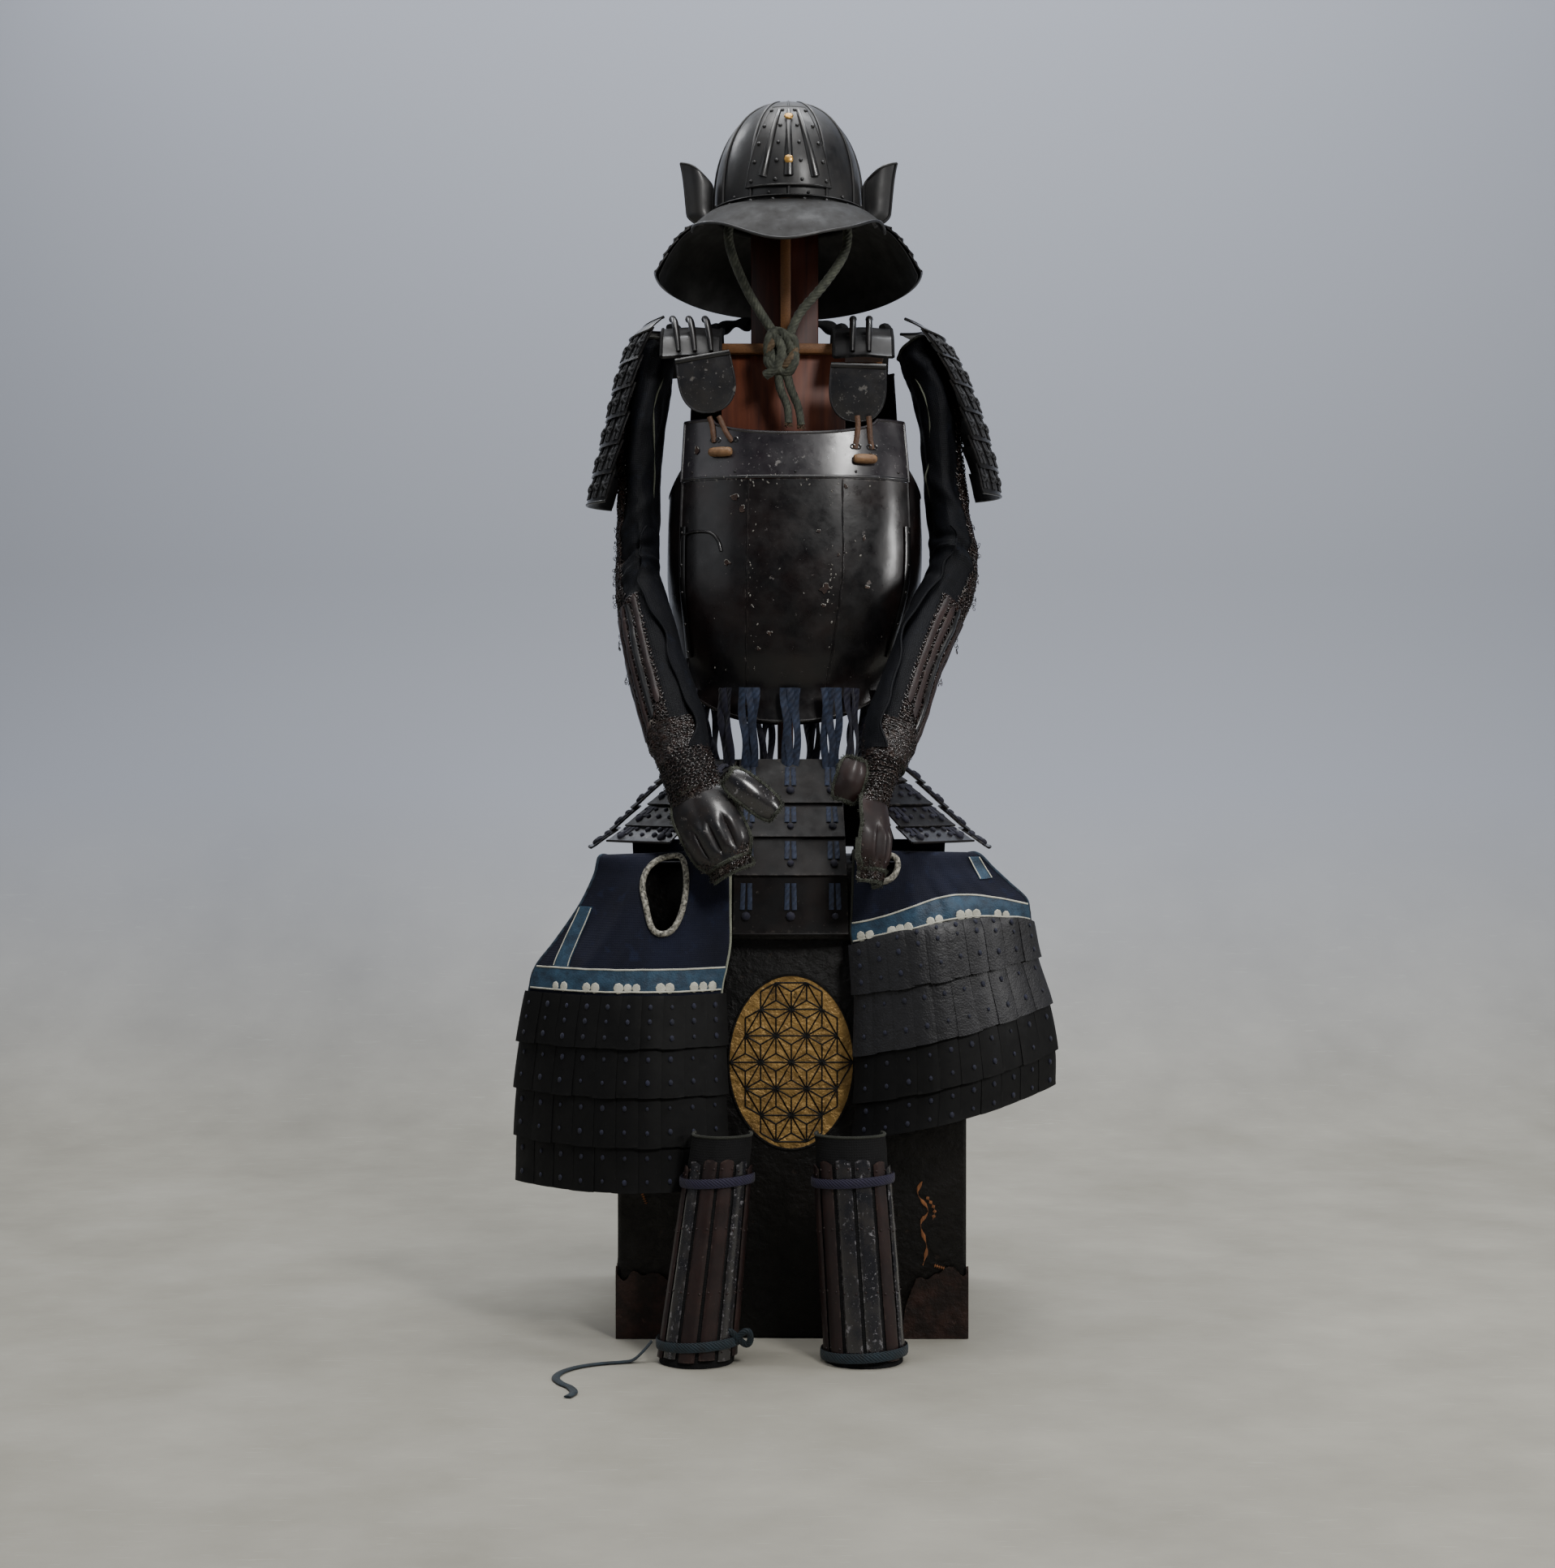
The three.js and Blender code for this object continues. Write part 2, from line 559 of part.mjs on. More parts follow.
function tasset(row) {
  const profile = lames(TASSET_PROFILES[row.profile], TASSET_STEP);
  const outward = at(Math.sin(turn(row.turn)), -Math.cos(turn(row.turn)), 0);
  const across = at(Math.cos(turn(row.turn)), Math.sin(turn(row.turn)), 0);
  const place = (out, side, z) => at(WAIST.x, 0, z).addScaledVector(outward, out).addScaledVector(across, side);
  const face = (u, v) => {
    const s = mix(-1, 1, u);
    const { out, z } = corner(profile, v);
    return place(out - 5 * s * s, s * mix(row.top, row.bottom, v), z);
  };
  const panel = wall(face, 4, profile.length - 1, LEATHER);
  const lacing = [];
  for (let k = 0; k < row.laces; k += 1) {
    const side = (k - (row.laces - 1) / 2) * row.top * 2 * WAIST.laceSpread / (row.laces - 1);
    lacing.push(wall((u, v) => {
      const z = mix(WAIST.lacingTop - 4, WAIST.top - 12, v);
      const edge = corner(profile, 0).out;
      const hang = torso(row.turn + side * 0.4, WAIST.lacingTop - 6, BREAST.rim + GAP + WAIST.lace);
      const clear = Math.hypot(hang.x - WAIST.x, hang.y);
      const out = mix(clear + 1, edge + 3, v ** 2);
      return place(out, side + mix(-0.5, 0.5, u) * WAIST.laceWidth, z);
    }, 1, 3, WAIST.lace));
  }
  add(row.name, joined(panel, ...lacing), lacquer);
}

// ---------- the armoured sleeves ----------

// Sections down each sleeve: its middle, and half its width and depth.
const SLEEVE_LEFT = table(['x', 'y', 'z', 'half', 'depth'],
  [-181, 6, 1326, 22, 44],
  [-194, 0, 1290, 29, 48],
  [-205, -8, 1223, 32, 48],
  [-209, -12, 1133, 27, 46],
  [-210, -24, 1060, 27, 44],
  [-209, -44, 1005, 28, 43],
  [-198, -84, 952, 33, 41],
  [-178, -140, 879, 36, 39],
  [-153, -194, 800, 38, 35],
  [-140, -222, 748, 32, 30]);
const SLEEVE_RIGHT = table(['x', 'y', 'z', 'half', 'depth'],
  [168, 6, 1326, 22, 44],
  [186, 0, 1290, 28, 48],
  [202, -8, 1223, 27, 48],
  [209, -12, 1133, 26, 46],
  [219, -24, 1060, 30, 45],
  [219, -44, 1010, 31, 43],
  [194, -84, 952, 34, 41],
  [162, -140, 879, 32, 39],
  [132, -194, 800, 34, 35],
  [118, -222, 748, 28, 30]);

// A point of a sleeve: a is 0 at the front and 90 on the outer side, and v runs from shoulder to cuff.
function sleevePoint(rows, side, a, v, out = 0) {
  const s = section(rows, v);
  const before = section(rows, v - 0.02);
  const after = section(rows, v + 0.02);
  const along = at(after.x - before.x, after.y - before.y, after.z - before.z).normalize();
  const wide = at(side, 0, 0).addScaledVector(along, -side * along.x).normalize();
  const front = along.clone().cross(wide).multiplyScalar(side).normalize();
  const fold = 1 + 0.05 * Math.sin(turn(3 * a + 260 * v)) * Math.sin(Math.PI * v);
  return at(s.x, s.y, s.z)
    .addScaledVector(wide, (s.half * fold + out) * Math.sin(turn(a)))
    .addScaledVector(front, (s.depth * fold + out) * Math.cos(turn(a)));
}

function sleeve(label, rows, side) {
  const cloth = (u, v) => sleevePoint(rows, side, 360 * u, v);
  add(`sleeve_cloth_${label}`, wall(cloth, 14, 12, CLOTH, { wrap: true, inward: side }), blackCloth);
  const splints = (u, v) => sleevePoint(rows, side, mix(18, 150, u), mix(0.66, 0.93, v), GAP + IRON + 1.2);
  add(`forearm_splints_${label}`, wall(splints, 7, 6, IRON, { inward: side }), brownIron);
}

// Hand and thumb plates: an arched plate with its own middle, direction down the hand and facing.
const HAND_PLATES = table(
  ['name', 'x', 'y', 'z', 'length', 'half', 'arch', 'lean', 'yaw', 'roll'],
  ['hand_plate_left', -104, -262, 672, 104, 42, 20, -6, -8, 27],
  ['thumb_plate_left', -52, -268, 713, 78, 19, 9, -4, 8, 52],
  ['hand_plate_right', 99, -262, 661, 98, 38, 20, -6, 66, -14],
  ['thumb_plate_right', 73, -268, 731, 56, 19, 9, -4, 10, -18]);

function handPlate(row) {
  const face = (u, v) => {
    const s = mix(-1, 1, u);
    const narrow = 1 - 0.32 * (2 * v - 1) ** 4;
    return at(s * row.half * narrow, -row.arch * (1 - s * s) - 6 * Math.sin(Math.PI * v), -row.length * (v - 0.5));
  };
  const mesh = add(row.name, wall(face, 6, 5, IRON), brownIron);
  mesh.position.set(row.x, row.y, row.z);
  mesh.rotation.set(turn(row.lean), turn(-row.roll), turn(row.yaw), 'ZXY');
}

// ---------- the shoulder guards ----------

const SODE_LEFT = table(['out', 'z'],
  [206, 1354], [222, 1334], [236, 1297], [246, 1260], [254, 1222], [263, 1184], [273, 1145], [280, 1108]);
const SODE_RIGHT = table(['out', 'z'],
  [186, 1352], [212, 1333], [234, 1300], [250, 1264], [263, 1228], [274, 1190], [284, 1152], [287, 1120]);

function shoulderGuard(name, edges, side) {
  const profile = lames(edges, SODE.step);
  const face = (u, v) => {
    const s = mix(-1, 1, u);
    const { out, z } = corner(profile, v);
    return at(side * (out - SODE.curve * s * s), s * SODE.half - 8, z + 6 * s * s * (1 - v));
  };
  add(name, wall(face, 4, profile.length - 1, IRON, { inward: side }), lacquer);
}

// ---------- the thigh aprons ----------

// Levels down each apron: heights and places of its inner and outer edges, and how far forward its
// inner edge, its middle and its outer edge stand.
const APRON_LEVELS = ['zIn', 'zOut', 'xIn', 'xOut', 'yIn', 'yMid', 'yOut'];
const APRON_LEFT = table(APRON_LEVELS,
  [624, 624, -80, -214, -120, -122, -124],
  [633, 629, -80, -234, -172, -176, -176],
  [638, 632, -80, -250, -211, -216, -208],
  [600, 606, -80, -258, -214, -232, -205],
  [560, 566, -80, -278, -216, -244, -199],
  [520, 520, -80, -310, -219, -254, -192],
  [488, 486, -85, -336, -222, -260, -186],
  [456, 455, -91, -345, -224, -265, -182],
  [387, 387, -92, -353, -228, -271, -176],
  [325, 325, -92, -357, -231, -274, -173],
  [262, 262, -92, -357, -233, -275, -172],
  [206, 204, -94, -354, -234, -275, -173]);
const APRON_RIGHT = table(APRON_LEVELS,
  [624, 624, 80, 206, -120, -122, -124],
  [633, 631, 80, 220, -172, -176, -176],
  [638, 636, 80, 240, -211, -216, -208],
  [606, 616, 79, 262, -214, -232, -205],
  [578, 596, 78, 284, -216, -244, -199],
  [554, 576, 77, 306, -219, -254, -192],
  [535, 560, 76, 311, -222, -258, -188],
  [518, 545, 78, 313, -224, -262, -184],
  [452, 497, 86, 318, -228, -268, -178],
  [373, 434, 88, 334, -231, -273, -174],
  [312, 374, 88, 341, -233, -275, -172],
  [266, 330, 86, 337, -234, -275, -172]);
const ROW_LEVELS = [7, 8, 9, 10, 11];
const LAST_LEVEL = 11;

// The face of an apron's cloth at level n and share u from its inner to its outer edge.
function apronFace(rows, u, n) {
  const s = section(rows, n / LAST_LEVEL);
  const bow = 4 * u * (1 - u);
  const crest = s.yMid - (s.yIn + s.yOut) / 2;
  const hang = Math.min(Math.max((n - 2) / 2, 0), 1);
  const fold = 3 * Math.sin(turn(640 * u + 20 * n)) * hang * Math.max(1 - (n - 2) / 5, 0);
  return at(mix(s.xIn, s.xOut, u), mix(s.yIn, s.yOut, u) + crest * bow - fold, mix(s.zIn, s.zOut, u));
}

// The same point moved out from the cloth, square to it.
function apronPoint(rows, side, u, n, out) {
  const across = apronFace(rows, u + 0.01, n).sub(apronFace(rows, u - 0.01, n));
  const down = apronFace(rows, u, n + 0.05).sub(apronFace(rows, u, n - 0.05));
  return apronFace(rows, u, n).addScaledVector(down.cross(across).normalize(), out * side);
}

function slitOf(x, z, half, height, lean) {
  const outline = new THREE.Shape();
  outline.moveTo(0, -height / 2);
  outline.bezierCurveTo(half * 1.1, -height / 2, half * 1.3, height / 2, half * 0.6, height / 2);
  outline.bezierCurveTo(-half * 0.4, height / 2, -half * 1.3, height * 0.3, -half * 0.8, -height * 0.1);
  outline.bezierCurveTo(-half * 0.6, -height * 0.4, -half * 0.5, -height / 2, 0, -height / 2);
  return plateOf(outline, 90, 6).rotateY(turn(lean)).translate(x, -290, z);
}

function apron(label, rows, side, slit) {
  const cloth = (u, v) => apronFace(rows, u, v * LAST_LEVEL);
  const hung = wall(cloth, 12, LAST_LEVEL, CLOTH, { inward: side });
  add(`apron_cloth_${label}`, cut(hung, slit), navyCloth);
  for (let k = 1; k < ROW_LEVELS.length; k += 1) {
    const [from, to] = [ROW_LEVELS[k - 1] - (k > 1 ? 0.16 : 0), ROW_LEVELS[k]];
    const face = (u, v) => apronPoint(
      rows, side, mix(-0.012, 1.012, u), mix(from, to, v), GAP * 2 + LEATHER + 1.2 + 6 * v);
    add(`apron_row_${k}_${label}`, wall(face, 12, 1, LEATHER, { inward: side }), scaleLeather);
  }
}

// ---------- the shin guards and the loose tie ----------

const SHIN = table(['z', 'y', 'depth'],
  [0.5, -318, 44],
  [60, -312, 43],
  [130, -305, 41],
  [200, -297, 39],
  [250, -292, 38],
  [282, -289, 37]);
const SHIN_TOP = 282;

function shinPoint(guard, a, z, out) {
  const s = sectionAt(SHIN, z);
  const rise = z / SHIN_TOP;
  return at(
    mix(guard.foot, guard.knee, rise) + (mix(guard.footHalf, guard.kneeHalf, rise) + out) * Math.sin(turn(a)),
    s.y - (s.depth + out) * Math.cos(turn(a)),
    z);
}

function shinGuard(label, guard) {
  const cloth = (u, v) => shinPoint(guard, mix(-112, 112, u), mix(SHIN_TOP, 0.5, v), 0);
  add(`shin_cloth_${label}`, wall(cloth, 12, 4, CLOTH), blackCloth);
  const splints = (u, v) => shinPoint(guard, mix(-88, 88, u), mix(250, 8, v), GAP + IRON + 0.6);
  add(`shin_splints_${label}`, wall(splints, 12, 3, IRON), brownIron);
}

// The loose end of a tie, from its free tip along the floor and up to the foot of the shin guard.
const LOOSE_TIE = [[-268, -500, 2.1], [-262, -480, 2.1], [-268, -456, 2.1], [-282, -434, 2.1], [-290, -408, 2.1],
  [-284, -380, 2.1], [-266, -356, 2.1], [-240, -340, 2.1], [-214, -332, 2.1], [-200, -329, 4], [-187, -327, 15],
  [-177, -325, 27]];

// ---------- the whole armour ----------

armourBox();
stand();
helmetBowl();
helmetPeak();
neckGuard();
turnback('helmet_turnback_left', -1);
turnback('helmet_turnback_right', 1);
frontPlate();
chinCord();
cuirass();
strap('shoulder_strap_left', -136, 0);
strap('shoulder_strap_right', 97, 0);
leaf('strap_leaf_left', -120, 1299, -10);
leaf('strap_leaf_right', 90, 1287, 2);
strapTie('strap_tie_left', -92, [-106, -92], [-99, -84], 1170);
strapTie('strap_tie_right', 95, [84, 102], [89, 102], 1160);
TASSETS.forEach(tasset);
sleeve('left', SLEEVE_LEFT, -1);
sleeve('right', SLEEVE_RIGHT, 1);
HAND_PLATES.forEach(handPlate);
shoulderGuard('shoulder_guard_left', SODE_LEFT, -1);
shoulderGuard('shoulder_guard_right', SODE_RIGHT, 1);
apron('left', APRON_LEFT, -1, slitOf(-166, 583, 29, 100, 4));
apron('right', APRON_RIGHT, 1, slitOf(114, 616, 24, 34, -20));
shinGuard('left', { foot: -121, knee: -89, footHalf: 47, kneeHalf: 38 });
shinGuard('right', { foot: 91, knee: 73, footHalf: 48, kneeHalf: 45 });
add('shin_tie_left', cordAlong(LOOSE_TIE.map(p => at(...p)), 22, TIE.width, TIE.thick, TIE.sides), blueTape);

export default armour;
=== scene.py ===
import math
import random

import bmesh
import bpy
import numpy as np
from mathutils import Matrix, Vector, noise


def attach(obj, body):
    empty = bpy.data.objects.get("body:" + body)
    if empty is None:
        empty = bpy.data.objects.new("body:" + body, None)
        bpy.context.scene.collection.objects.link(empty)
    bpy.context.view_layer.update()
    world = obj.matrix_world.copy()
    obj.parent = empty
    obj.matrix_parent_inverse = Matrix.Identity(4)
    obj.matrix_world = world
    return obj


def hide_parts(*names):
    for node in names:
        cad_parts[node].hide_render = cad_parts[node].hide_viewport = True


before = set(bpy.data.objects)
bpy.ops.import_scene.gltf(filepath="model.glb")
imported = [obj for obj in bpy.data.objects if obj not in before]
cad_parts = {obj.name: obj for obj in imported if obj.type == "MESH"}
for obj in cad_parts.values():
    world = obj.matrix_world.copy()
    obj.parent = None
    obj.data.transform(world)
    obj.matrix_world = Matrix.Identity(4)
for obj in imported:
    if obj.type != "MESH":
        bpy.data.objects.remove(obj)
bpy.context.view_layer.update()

# Sizes and places are in millimetres, in the frame's own axes, and MM turns them to metres.
MM = 0.001
IRON = 2.0
CLOTH = 2.5
# How far in from an edge its wear reaches, and the angle in degrees past which two faces meet sharply.
WORN_REACH = 5.0
SHARP = 48


# ---------- small tools ----------


def mix(a, b, t):
    return a + (b - a) * t


def smooth(low, high, value):
    t = min(max((value - low) / (high - low), 0.0), 1.0)
    return t * t * (3 - 2 * t)


def sin(degrees):
    return math.sin(math.radians(degrees))


def cos(degrees):
    return math.cos(math.radians(degrees))


def power(value, exponent):
    return math.copysign(abs(value) ** exponent, value)


def rough(x, y, z, size):
    """Smooth noise from -1 to 1 whose bumps are about size mm across."""
    return noise.noise(Vector((x, y, z)) / size)


def section(rows, t):
    """The row at t, 0 to 1 along a table, on a smooth curve through its rows."""
    place = min(max(t, 0.0), 1.0) * (len(rows) - 1)
    k = min(int(place), len(rows) - 2)
    s = place - k
    a, b, c, d = (rows[min(max(n, 0), len(rows) - 1)] for n in (k - 1, k, k + 1, k + 2))
    return b + 0.5 * s * (c - a + s * (2 * a - 5 * b + 4 * c - d + s * (3 * (b - c) + d - a)))


def section_at(rows, z):
    """The row at height z, where the table's first column is its height and falls or rises all the way."""
    up = 1 if rows[1][0] > rows[0][0] else -1
    k = 0
    while k < len(rows) - 2 and up * z > up * rows[k + 1][0]:
        k += 1
    s = (z - rows[k][0]) / (rows[k + 1][0] - rows[k][0])
    return section(rows, (k + s) / (len(rows) - 1))


def route(points, steps):
    """An even smooth curve through points, as steps + 1 places."""
    rows = np.array(points, float)
    fine = np.array([section(rows, t) for t in np.linspace(0, 1, 12 * len(rows))])
    run = np.concatenate([[0], np.cumsum(np.linalg.norm(np.diff(fine, axis=0), axis=1))])
    places = np.linspace(0, run[-1], steps + 1)
    return np.stack([np.interp(places, run, fine[:, k]) for k in range(3)], axis=1)


def unit(vectors):
    return vectors / np.maximum(np.linalg.norm(vectors, axis=-1, keepdims=True), 1e-9)


# How far to either side of a place its surface's slope is taken, as a share of the surface.
NUDGE = 0.004


def spot(face, u, v, lift=0.0, inward=1):
    """A place on a surface for a rivet or knot: its point, its outward normal and the way down."""
    p = np.array(face(u, v))
    across = np.array(face(u + NUDGE, v)) - np.array(face(u - NUDGE, v))
    down = np.array(face(u, v + NUDGE)) - np.array(face(u, v - NUDGE))
    normal = unit(np.cross(down, across)) * inward
    return p + normal * lift, normal, unit(down)


def spots(face, across, down, lift, size, inward=1):
    """Spots of one size at every crossing of these shares across and down a surface."""
    return [(*spot(face, u, v, lift, inward), size) for u in across for v in down]


class Piece:
    """One finished object, gathered from shells and swept cords under one name."""

    def __init__(self, name):
        self.name = name
        self.points = []
        self.faces = []
        self.uvs = []
        self.edges = []
        self.kinds = []
        self.materials = []
        self.count = 0

    def add(self, points, faces, uvs, edges, material):
        if material not in self.materials:
            self.materials.append(material)
        self.points.append(points)
        self.faces.append(faces + self.count)
        self.uvs.append(uvs)
        self.edges.append(edges)
        self.kinds.append(np.full(len(faces), self.materials.index(material)))
        self.count += len(points)

    def shell(self, face, across, down, thick, material, wrap=False, inward=1):
        """A wall whose outer face is face(u, v), with u across it and v down it."""
        cols = across if wrap else across + 1
        outer = np.array([[face(i / across, j / down) for i in range(cols)] for j in range(down + 1)], float)
        if wrap:
            du = np.roll(outer, -1, axis=1) - np.roll(outer, 1, axis=1)
            run = np.concatenate([outer, outer[:, :1]], axis=1)
        else:
            du = np.gradient(outer, axis=1)
            run = outer
        normal = unit(np.cross(np.gradient(outer, axis=0), du)) * inward
        along = np.zeros(run.shape[:2])
        along[:, 1:] = np.cumsum(np.linalg.norm(np.diff(run, axis=1), axis=2), axis=1)
        fall = np.zeros(outer.shape[:2])
        fall[1:] = np.cumsum(np.linalg.norm(np.diff(outer, axis=0), axis=2), axis=0)
        margin = np.minimum(fall, fall[-1] - fall)
        if not wrap:
            margin = np.minimum(margin, np.minimum(along, along[:, -1:] - along))
        texture = np.stack([along, np.broadcast_to(fall[:, :1], along.shape)], axis=2) * MM
        i, j = (n.ravel() for n in np.meshgrid(np.arange(across), np.arange(down)))
        right = (i + 1) % cols if wrap else i + 1
        quads = np.stack([j * cols + i, (j + 1) * cols + i, (j + 1) * cols + right, j * cols + right], 1)
        corner = np.stack([texture[j, i], texture[j + 1, i], texture[j + 1, i + 1], texture[j, i + 1]], 1)
        back = outer.reshape(-1, 3).shape[0]
        walls = [quads, quads[:, ::-1] + back]
        skins = [corner, corner[:, ::-1]]
        borders = [[(k, (k + 1) % cols) for k in range(across)]]
        borders.append([(down * cols + (k + 1) % cols, down * cols + k) for k in range(across)])
        if not wrap:
            borders.append([((k + 1) * cols, k * cols) for k in range(down)])
            borders.append([(k * cols + across, (k + 1) * cols + across) for k in range(down)])
        rim = np.array([(a, b, back + b, back + a) for border in borders for a, b in border])
        flat = texture[:, :cols].reshape(-1, 2)
        walls.append(rim)
        skins.append(np.stack([flat[rim[:, 0]], flat[rim[:, 1]], flat[rim[:, 1]], flat[rim[:, 0]]], axis=1))
        faces = np.concatenate(walls)
        if inward < 0:
            faces = faces[:, ::-1]
            skins = [skin[:, ::-1] for skin in skins]
        points = np.concatenate([outer.reshape(-1, 3), (outer - normal * thick).reshape(-1, 3)])
        worn = np.tile(np.exp(-margin.ravel() / WORN_REACH), 2)
        self.add(points, faces, np.concatenate(skins), worn, material)

    def sweep(self, points, radius, material, sides=10, flat=1.0, up=None, lobes=0, twist=0.0, taper=None,
              closed=False):
        """A cord along points: round, or flat square to up, or lobed and twisted like laid rope."""
        points = np.array(points, float)
        count = len(points)
        if closed:
            tangent = unit(np.roll(points, -1, axis=0) - np.roll(points, 1, axis=0))
        else:
            tangent = unit(np.gradient(points, axis=0))
        if up is None:
            side = np.zeros_like(points)
            first = np.array([0, 0, 1.0]) if abs(tangent[0][2]) < 0.9 else np.array([0, 1.0, 0])
            side[0] = unit(np.cross(tangent[0], first))
            for k in range(1, count):
                carried = side[k - 1] - tangent[k] * np.dot(side[k - 1], tangent[k])
                side[k] = unit(carried)
        else:
            side = unit(np.cross(tangent, np.broadcast_to(np.array(up, float), points.shape)))
        lift = unit(np.cross(side, tangent))
        angle = np.arange(sides) * 2 * math.pi / sides
        run = np.concatenate([[0], np.cumsum(np.linalg.norm(np.diff(points, axis=0), axis=1))])
        share = [1.0 if taper is None else taper(k / (count - 1)) for k in range(count)]
        size = radius * np.array(share)
        bulge = np.ones((count, sides))
        if lobes:
            phase = lobes * (angle[None, :] - twist * run[:, None]) / 2
            bulge = 0.8 + 0.2 * np.abs(np.cos(phase))
        across = side[:, None] * np.cos(angle)[None, :, None]
        offset = across + lift[:, None] * np.sin(angle)[None, :, None] * flat
        rings = points[:, None] + offset * (size[:, None] * bulge)[:, :, None]
        around = np.arange(sides + 1)[None] * radius * 2 * math.pi / sides
        texture = np.stack(np.broadcast_arrays(around, run[:, None]), axis=2) * MM
        loops = count if closed else count - 1
        i, j = (n.ravel() for n in np.meshgrid(np.arange(sides), np.arange(loops)))
        nxt = (j + 1) % count
        right = (i + 1) % sides
        quads = np.stack([j * sides + i, j * sides + right, nxt * sides + right, nxt * sides + i], axis=1)
        top = np.minimum(j + 1, count - 1)
        skin = np.stack([texture[j, i], texture[j, i + 1], texture[top, i + 1], texture[top, i]], axis=1)
        vertices = rings.reshape(-1, 3)
        if not closed:
            ends = np.stack([points[0], points[-1]])
            vertices = np.concatenate([vertices, ends])
            base = count * sides
            k = np.arange(sides)
            last = (count - 1) * sides
            start, end = np.full(sides, base), np.full(sides, base + 1)
            first_cap = np.stack([k, start, start, (k + 1) % sides], axis=1)
            last_cap = np.stack([last + (k + 1) % sides, end, end, last + k], axis=1)
            quads = np.concatenate([quads, first_cap, last_cap])
            skin = np.concatenate([skin, np.zeros((2 * sides, 4, 2))])
        self.add(vertices, quads, skin, np.zeros(len(vertices)), material)

    def block(self, low, high, material, bevel=1.5):
        """A board with softened corners, from its lowest and highest corners."""
        low, high = np.array(low, float), np.array(high, float)
        middle, half = (low + high) / 2, (high - low) / 2
        points = []
        for axis in range(3):
            for signs in np.ndindex(2, 2, 2):
                inset = half - bevel
                inset[axis] = half[axis]
                points.append(middle + (np.array(signs) * 2 - 1) * inset)
        shape = bmesh.new()
        for p in points:
            shape.verts.new(tuple(p))
        bmesh.ops.convex_hull(shape, input=shape.verts, use_existing_faces=False)
        bmesh.ops.dissolve_limit(shape, angle_limit=0.01, verts=shape.verts, edges=shape.edges)
        bmesh.ops.recalc_face_normals(shape, faces=shape.faces)
        shape.verts.index_update()
        verts = np.array([v.co for v in shape.verts])
        rows = [[v.index for v in f.verts] for f in shape.faces]
        rows = np.array([r if len(r) == 4 else r + [r[-1]] for r in rows])
        shape.free()
        self.add(verts, rows, np.zeros((len(rows), 4, 2)), np.zeros(len(verts)), material)

    def make(self):
        """The object, with its faces' texture places in metres and how near each point is to a worn edge."""
        faces = np.concatenate(self.faces)
        keep = np.ones(faces.shape, bool)
        keep[:, 1:] = faces[:, 1:] != faces[:, :-1]
        mesh = bpy.data.meshes.new(self.name)
        rows = [list(dict.fromkeys(f)) for f in faces.tolist()]
        mesh.from_pydata((np.concatenate(self.points) * MM).tolist(), [], rows)
        layer = mesh.uv_layers.new(name="flat")
        layer.data.foreach_set("uv", np.concatenate(self.uvs)[keep].astype(np.float32).ravel())
        worn = mesh.attributes.new("edge", "FLOAT", "POINT")
        worn.data.foreach_set("value", np.concatenate(self.edges).astype(np.float32))
        mesh.polygons.foreach_set("material_index", np.concatenate(self.kinds).astype(np.int32))
        mesh.polygons.foreach_set("use_smooth", np.ones(len(faces), bool))
        mesh.set_sharp_from_angle(angle=math.radians(SHARP))
        for material in self.materials:
            mesh.materials.append(material)
        mesh.validate()
        thing = bpy.data.objects.new(self.name, mesh)
        bpy.context.scene.collection.objects.link(thing)
        return thing

    def done(self, slot, *nodes):
        thing = self.make()
        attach(thing, "root")
        if nodes:
            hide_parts(*nodes)
        return thing


# ---------- materials ----------

# The width of one band of a wave texture at a scale of 1.
BAND = 6.28


def linear(colour):
    """A hex sRGB colour as linear red, green, blue and alpha."""
    parts = [int(colour[k:k + 2], 16) / 255 for k in (1, 3, 5)]
    return [c / 12.92 if c <= 0.04045 else ((c + 0.055) / 1.055) ** 2.4 for c in parts] + [1.0]


def node(tree, kind, inputs=(), out=0, stops=(), **settings):
    """Adds a node with its settings, input values or links and ramp stops, and gives one output."""
    made = tree.nodes.new(kind if "Node" in kind else "ShaderNode" + kind)
    for name, value in settings.items():
        setattr(made, name, value)
    for key, value in dict(inputs).items():
        if isinstance(value, bpy.types.NodeSocket):
            tree.links.new(value, made.inputs[key])
        else:
            made.inputs[key].default_value = linear(value) if str(value).startswith("#") else value
    for k, (place, colour) in enumerate(stops):
        ramp = made.color_ramp.elements
        stop = ramp[k] if k < len(ramp) else ramp.new(place)
        stop.position = place
        stop.color = linear(colour) if isinstance(colour, str) else [colour] * 3 + [1.0]
    return made.outputs[out]


def blend(tree, factor, a, b, kind="MIX"):
    return node(tree, "Mix", {0: factor, 6: a, 7: b}, out=2, data_type="RGBA", blend_type=kind)


def times(tree, a, b):
    return node(tree, "Math", {0: a, 1: b}, operation="MULTIPLY")


def threads(tree, flat, size, way, distortion):
    """Raised threads size mm apart, laid along or across a piece's own flat lay."""
    inputs = {"Vector": flat, "Scale": 1000 / size / BAND, "Distortion": distortion}
    return node(tree, "TexWave", inputs, out=1, bands_direction=way)


def patches(tree, place, size, low, high, detail=5.0):
    """Soft-edged patches about size mm across, as a share from 0 to 1."""
    inputs = {"Vector": place, "Scale": 1000 / size, "Detail": detail, "Roughness": 0.62}
    cloud = node(tree, "TexNoise", inputs)
    return node(tree, "MapRange", {0: cloud, 1: low, 2: high})


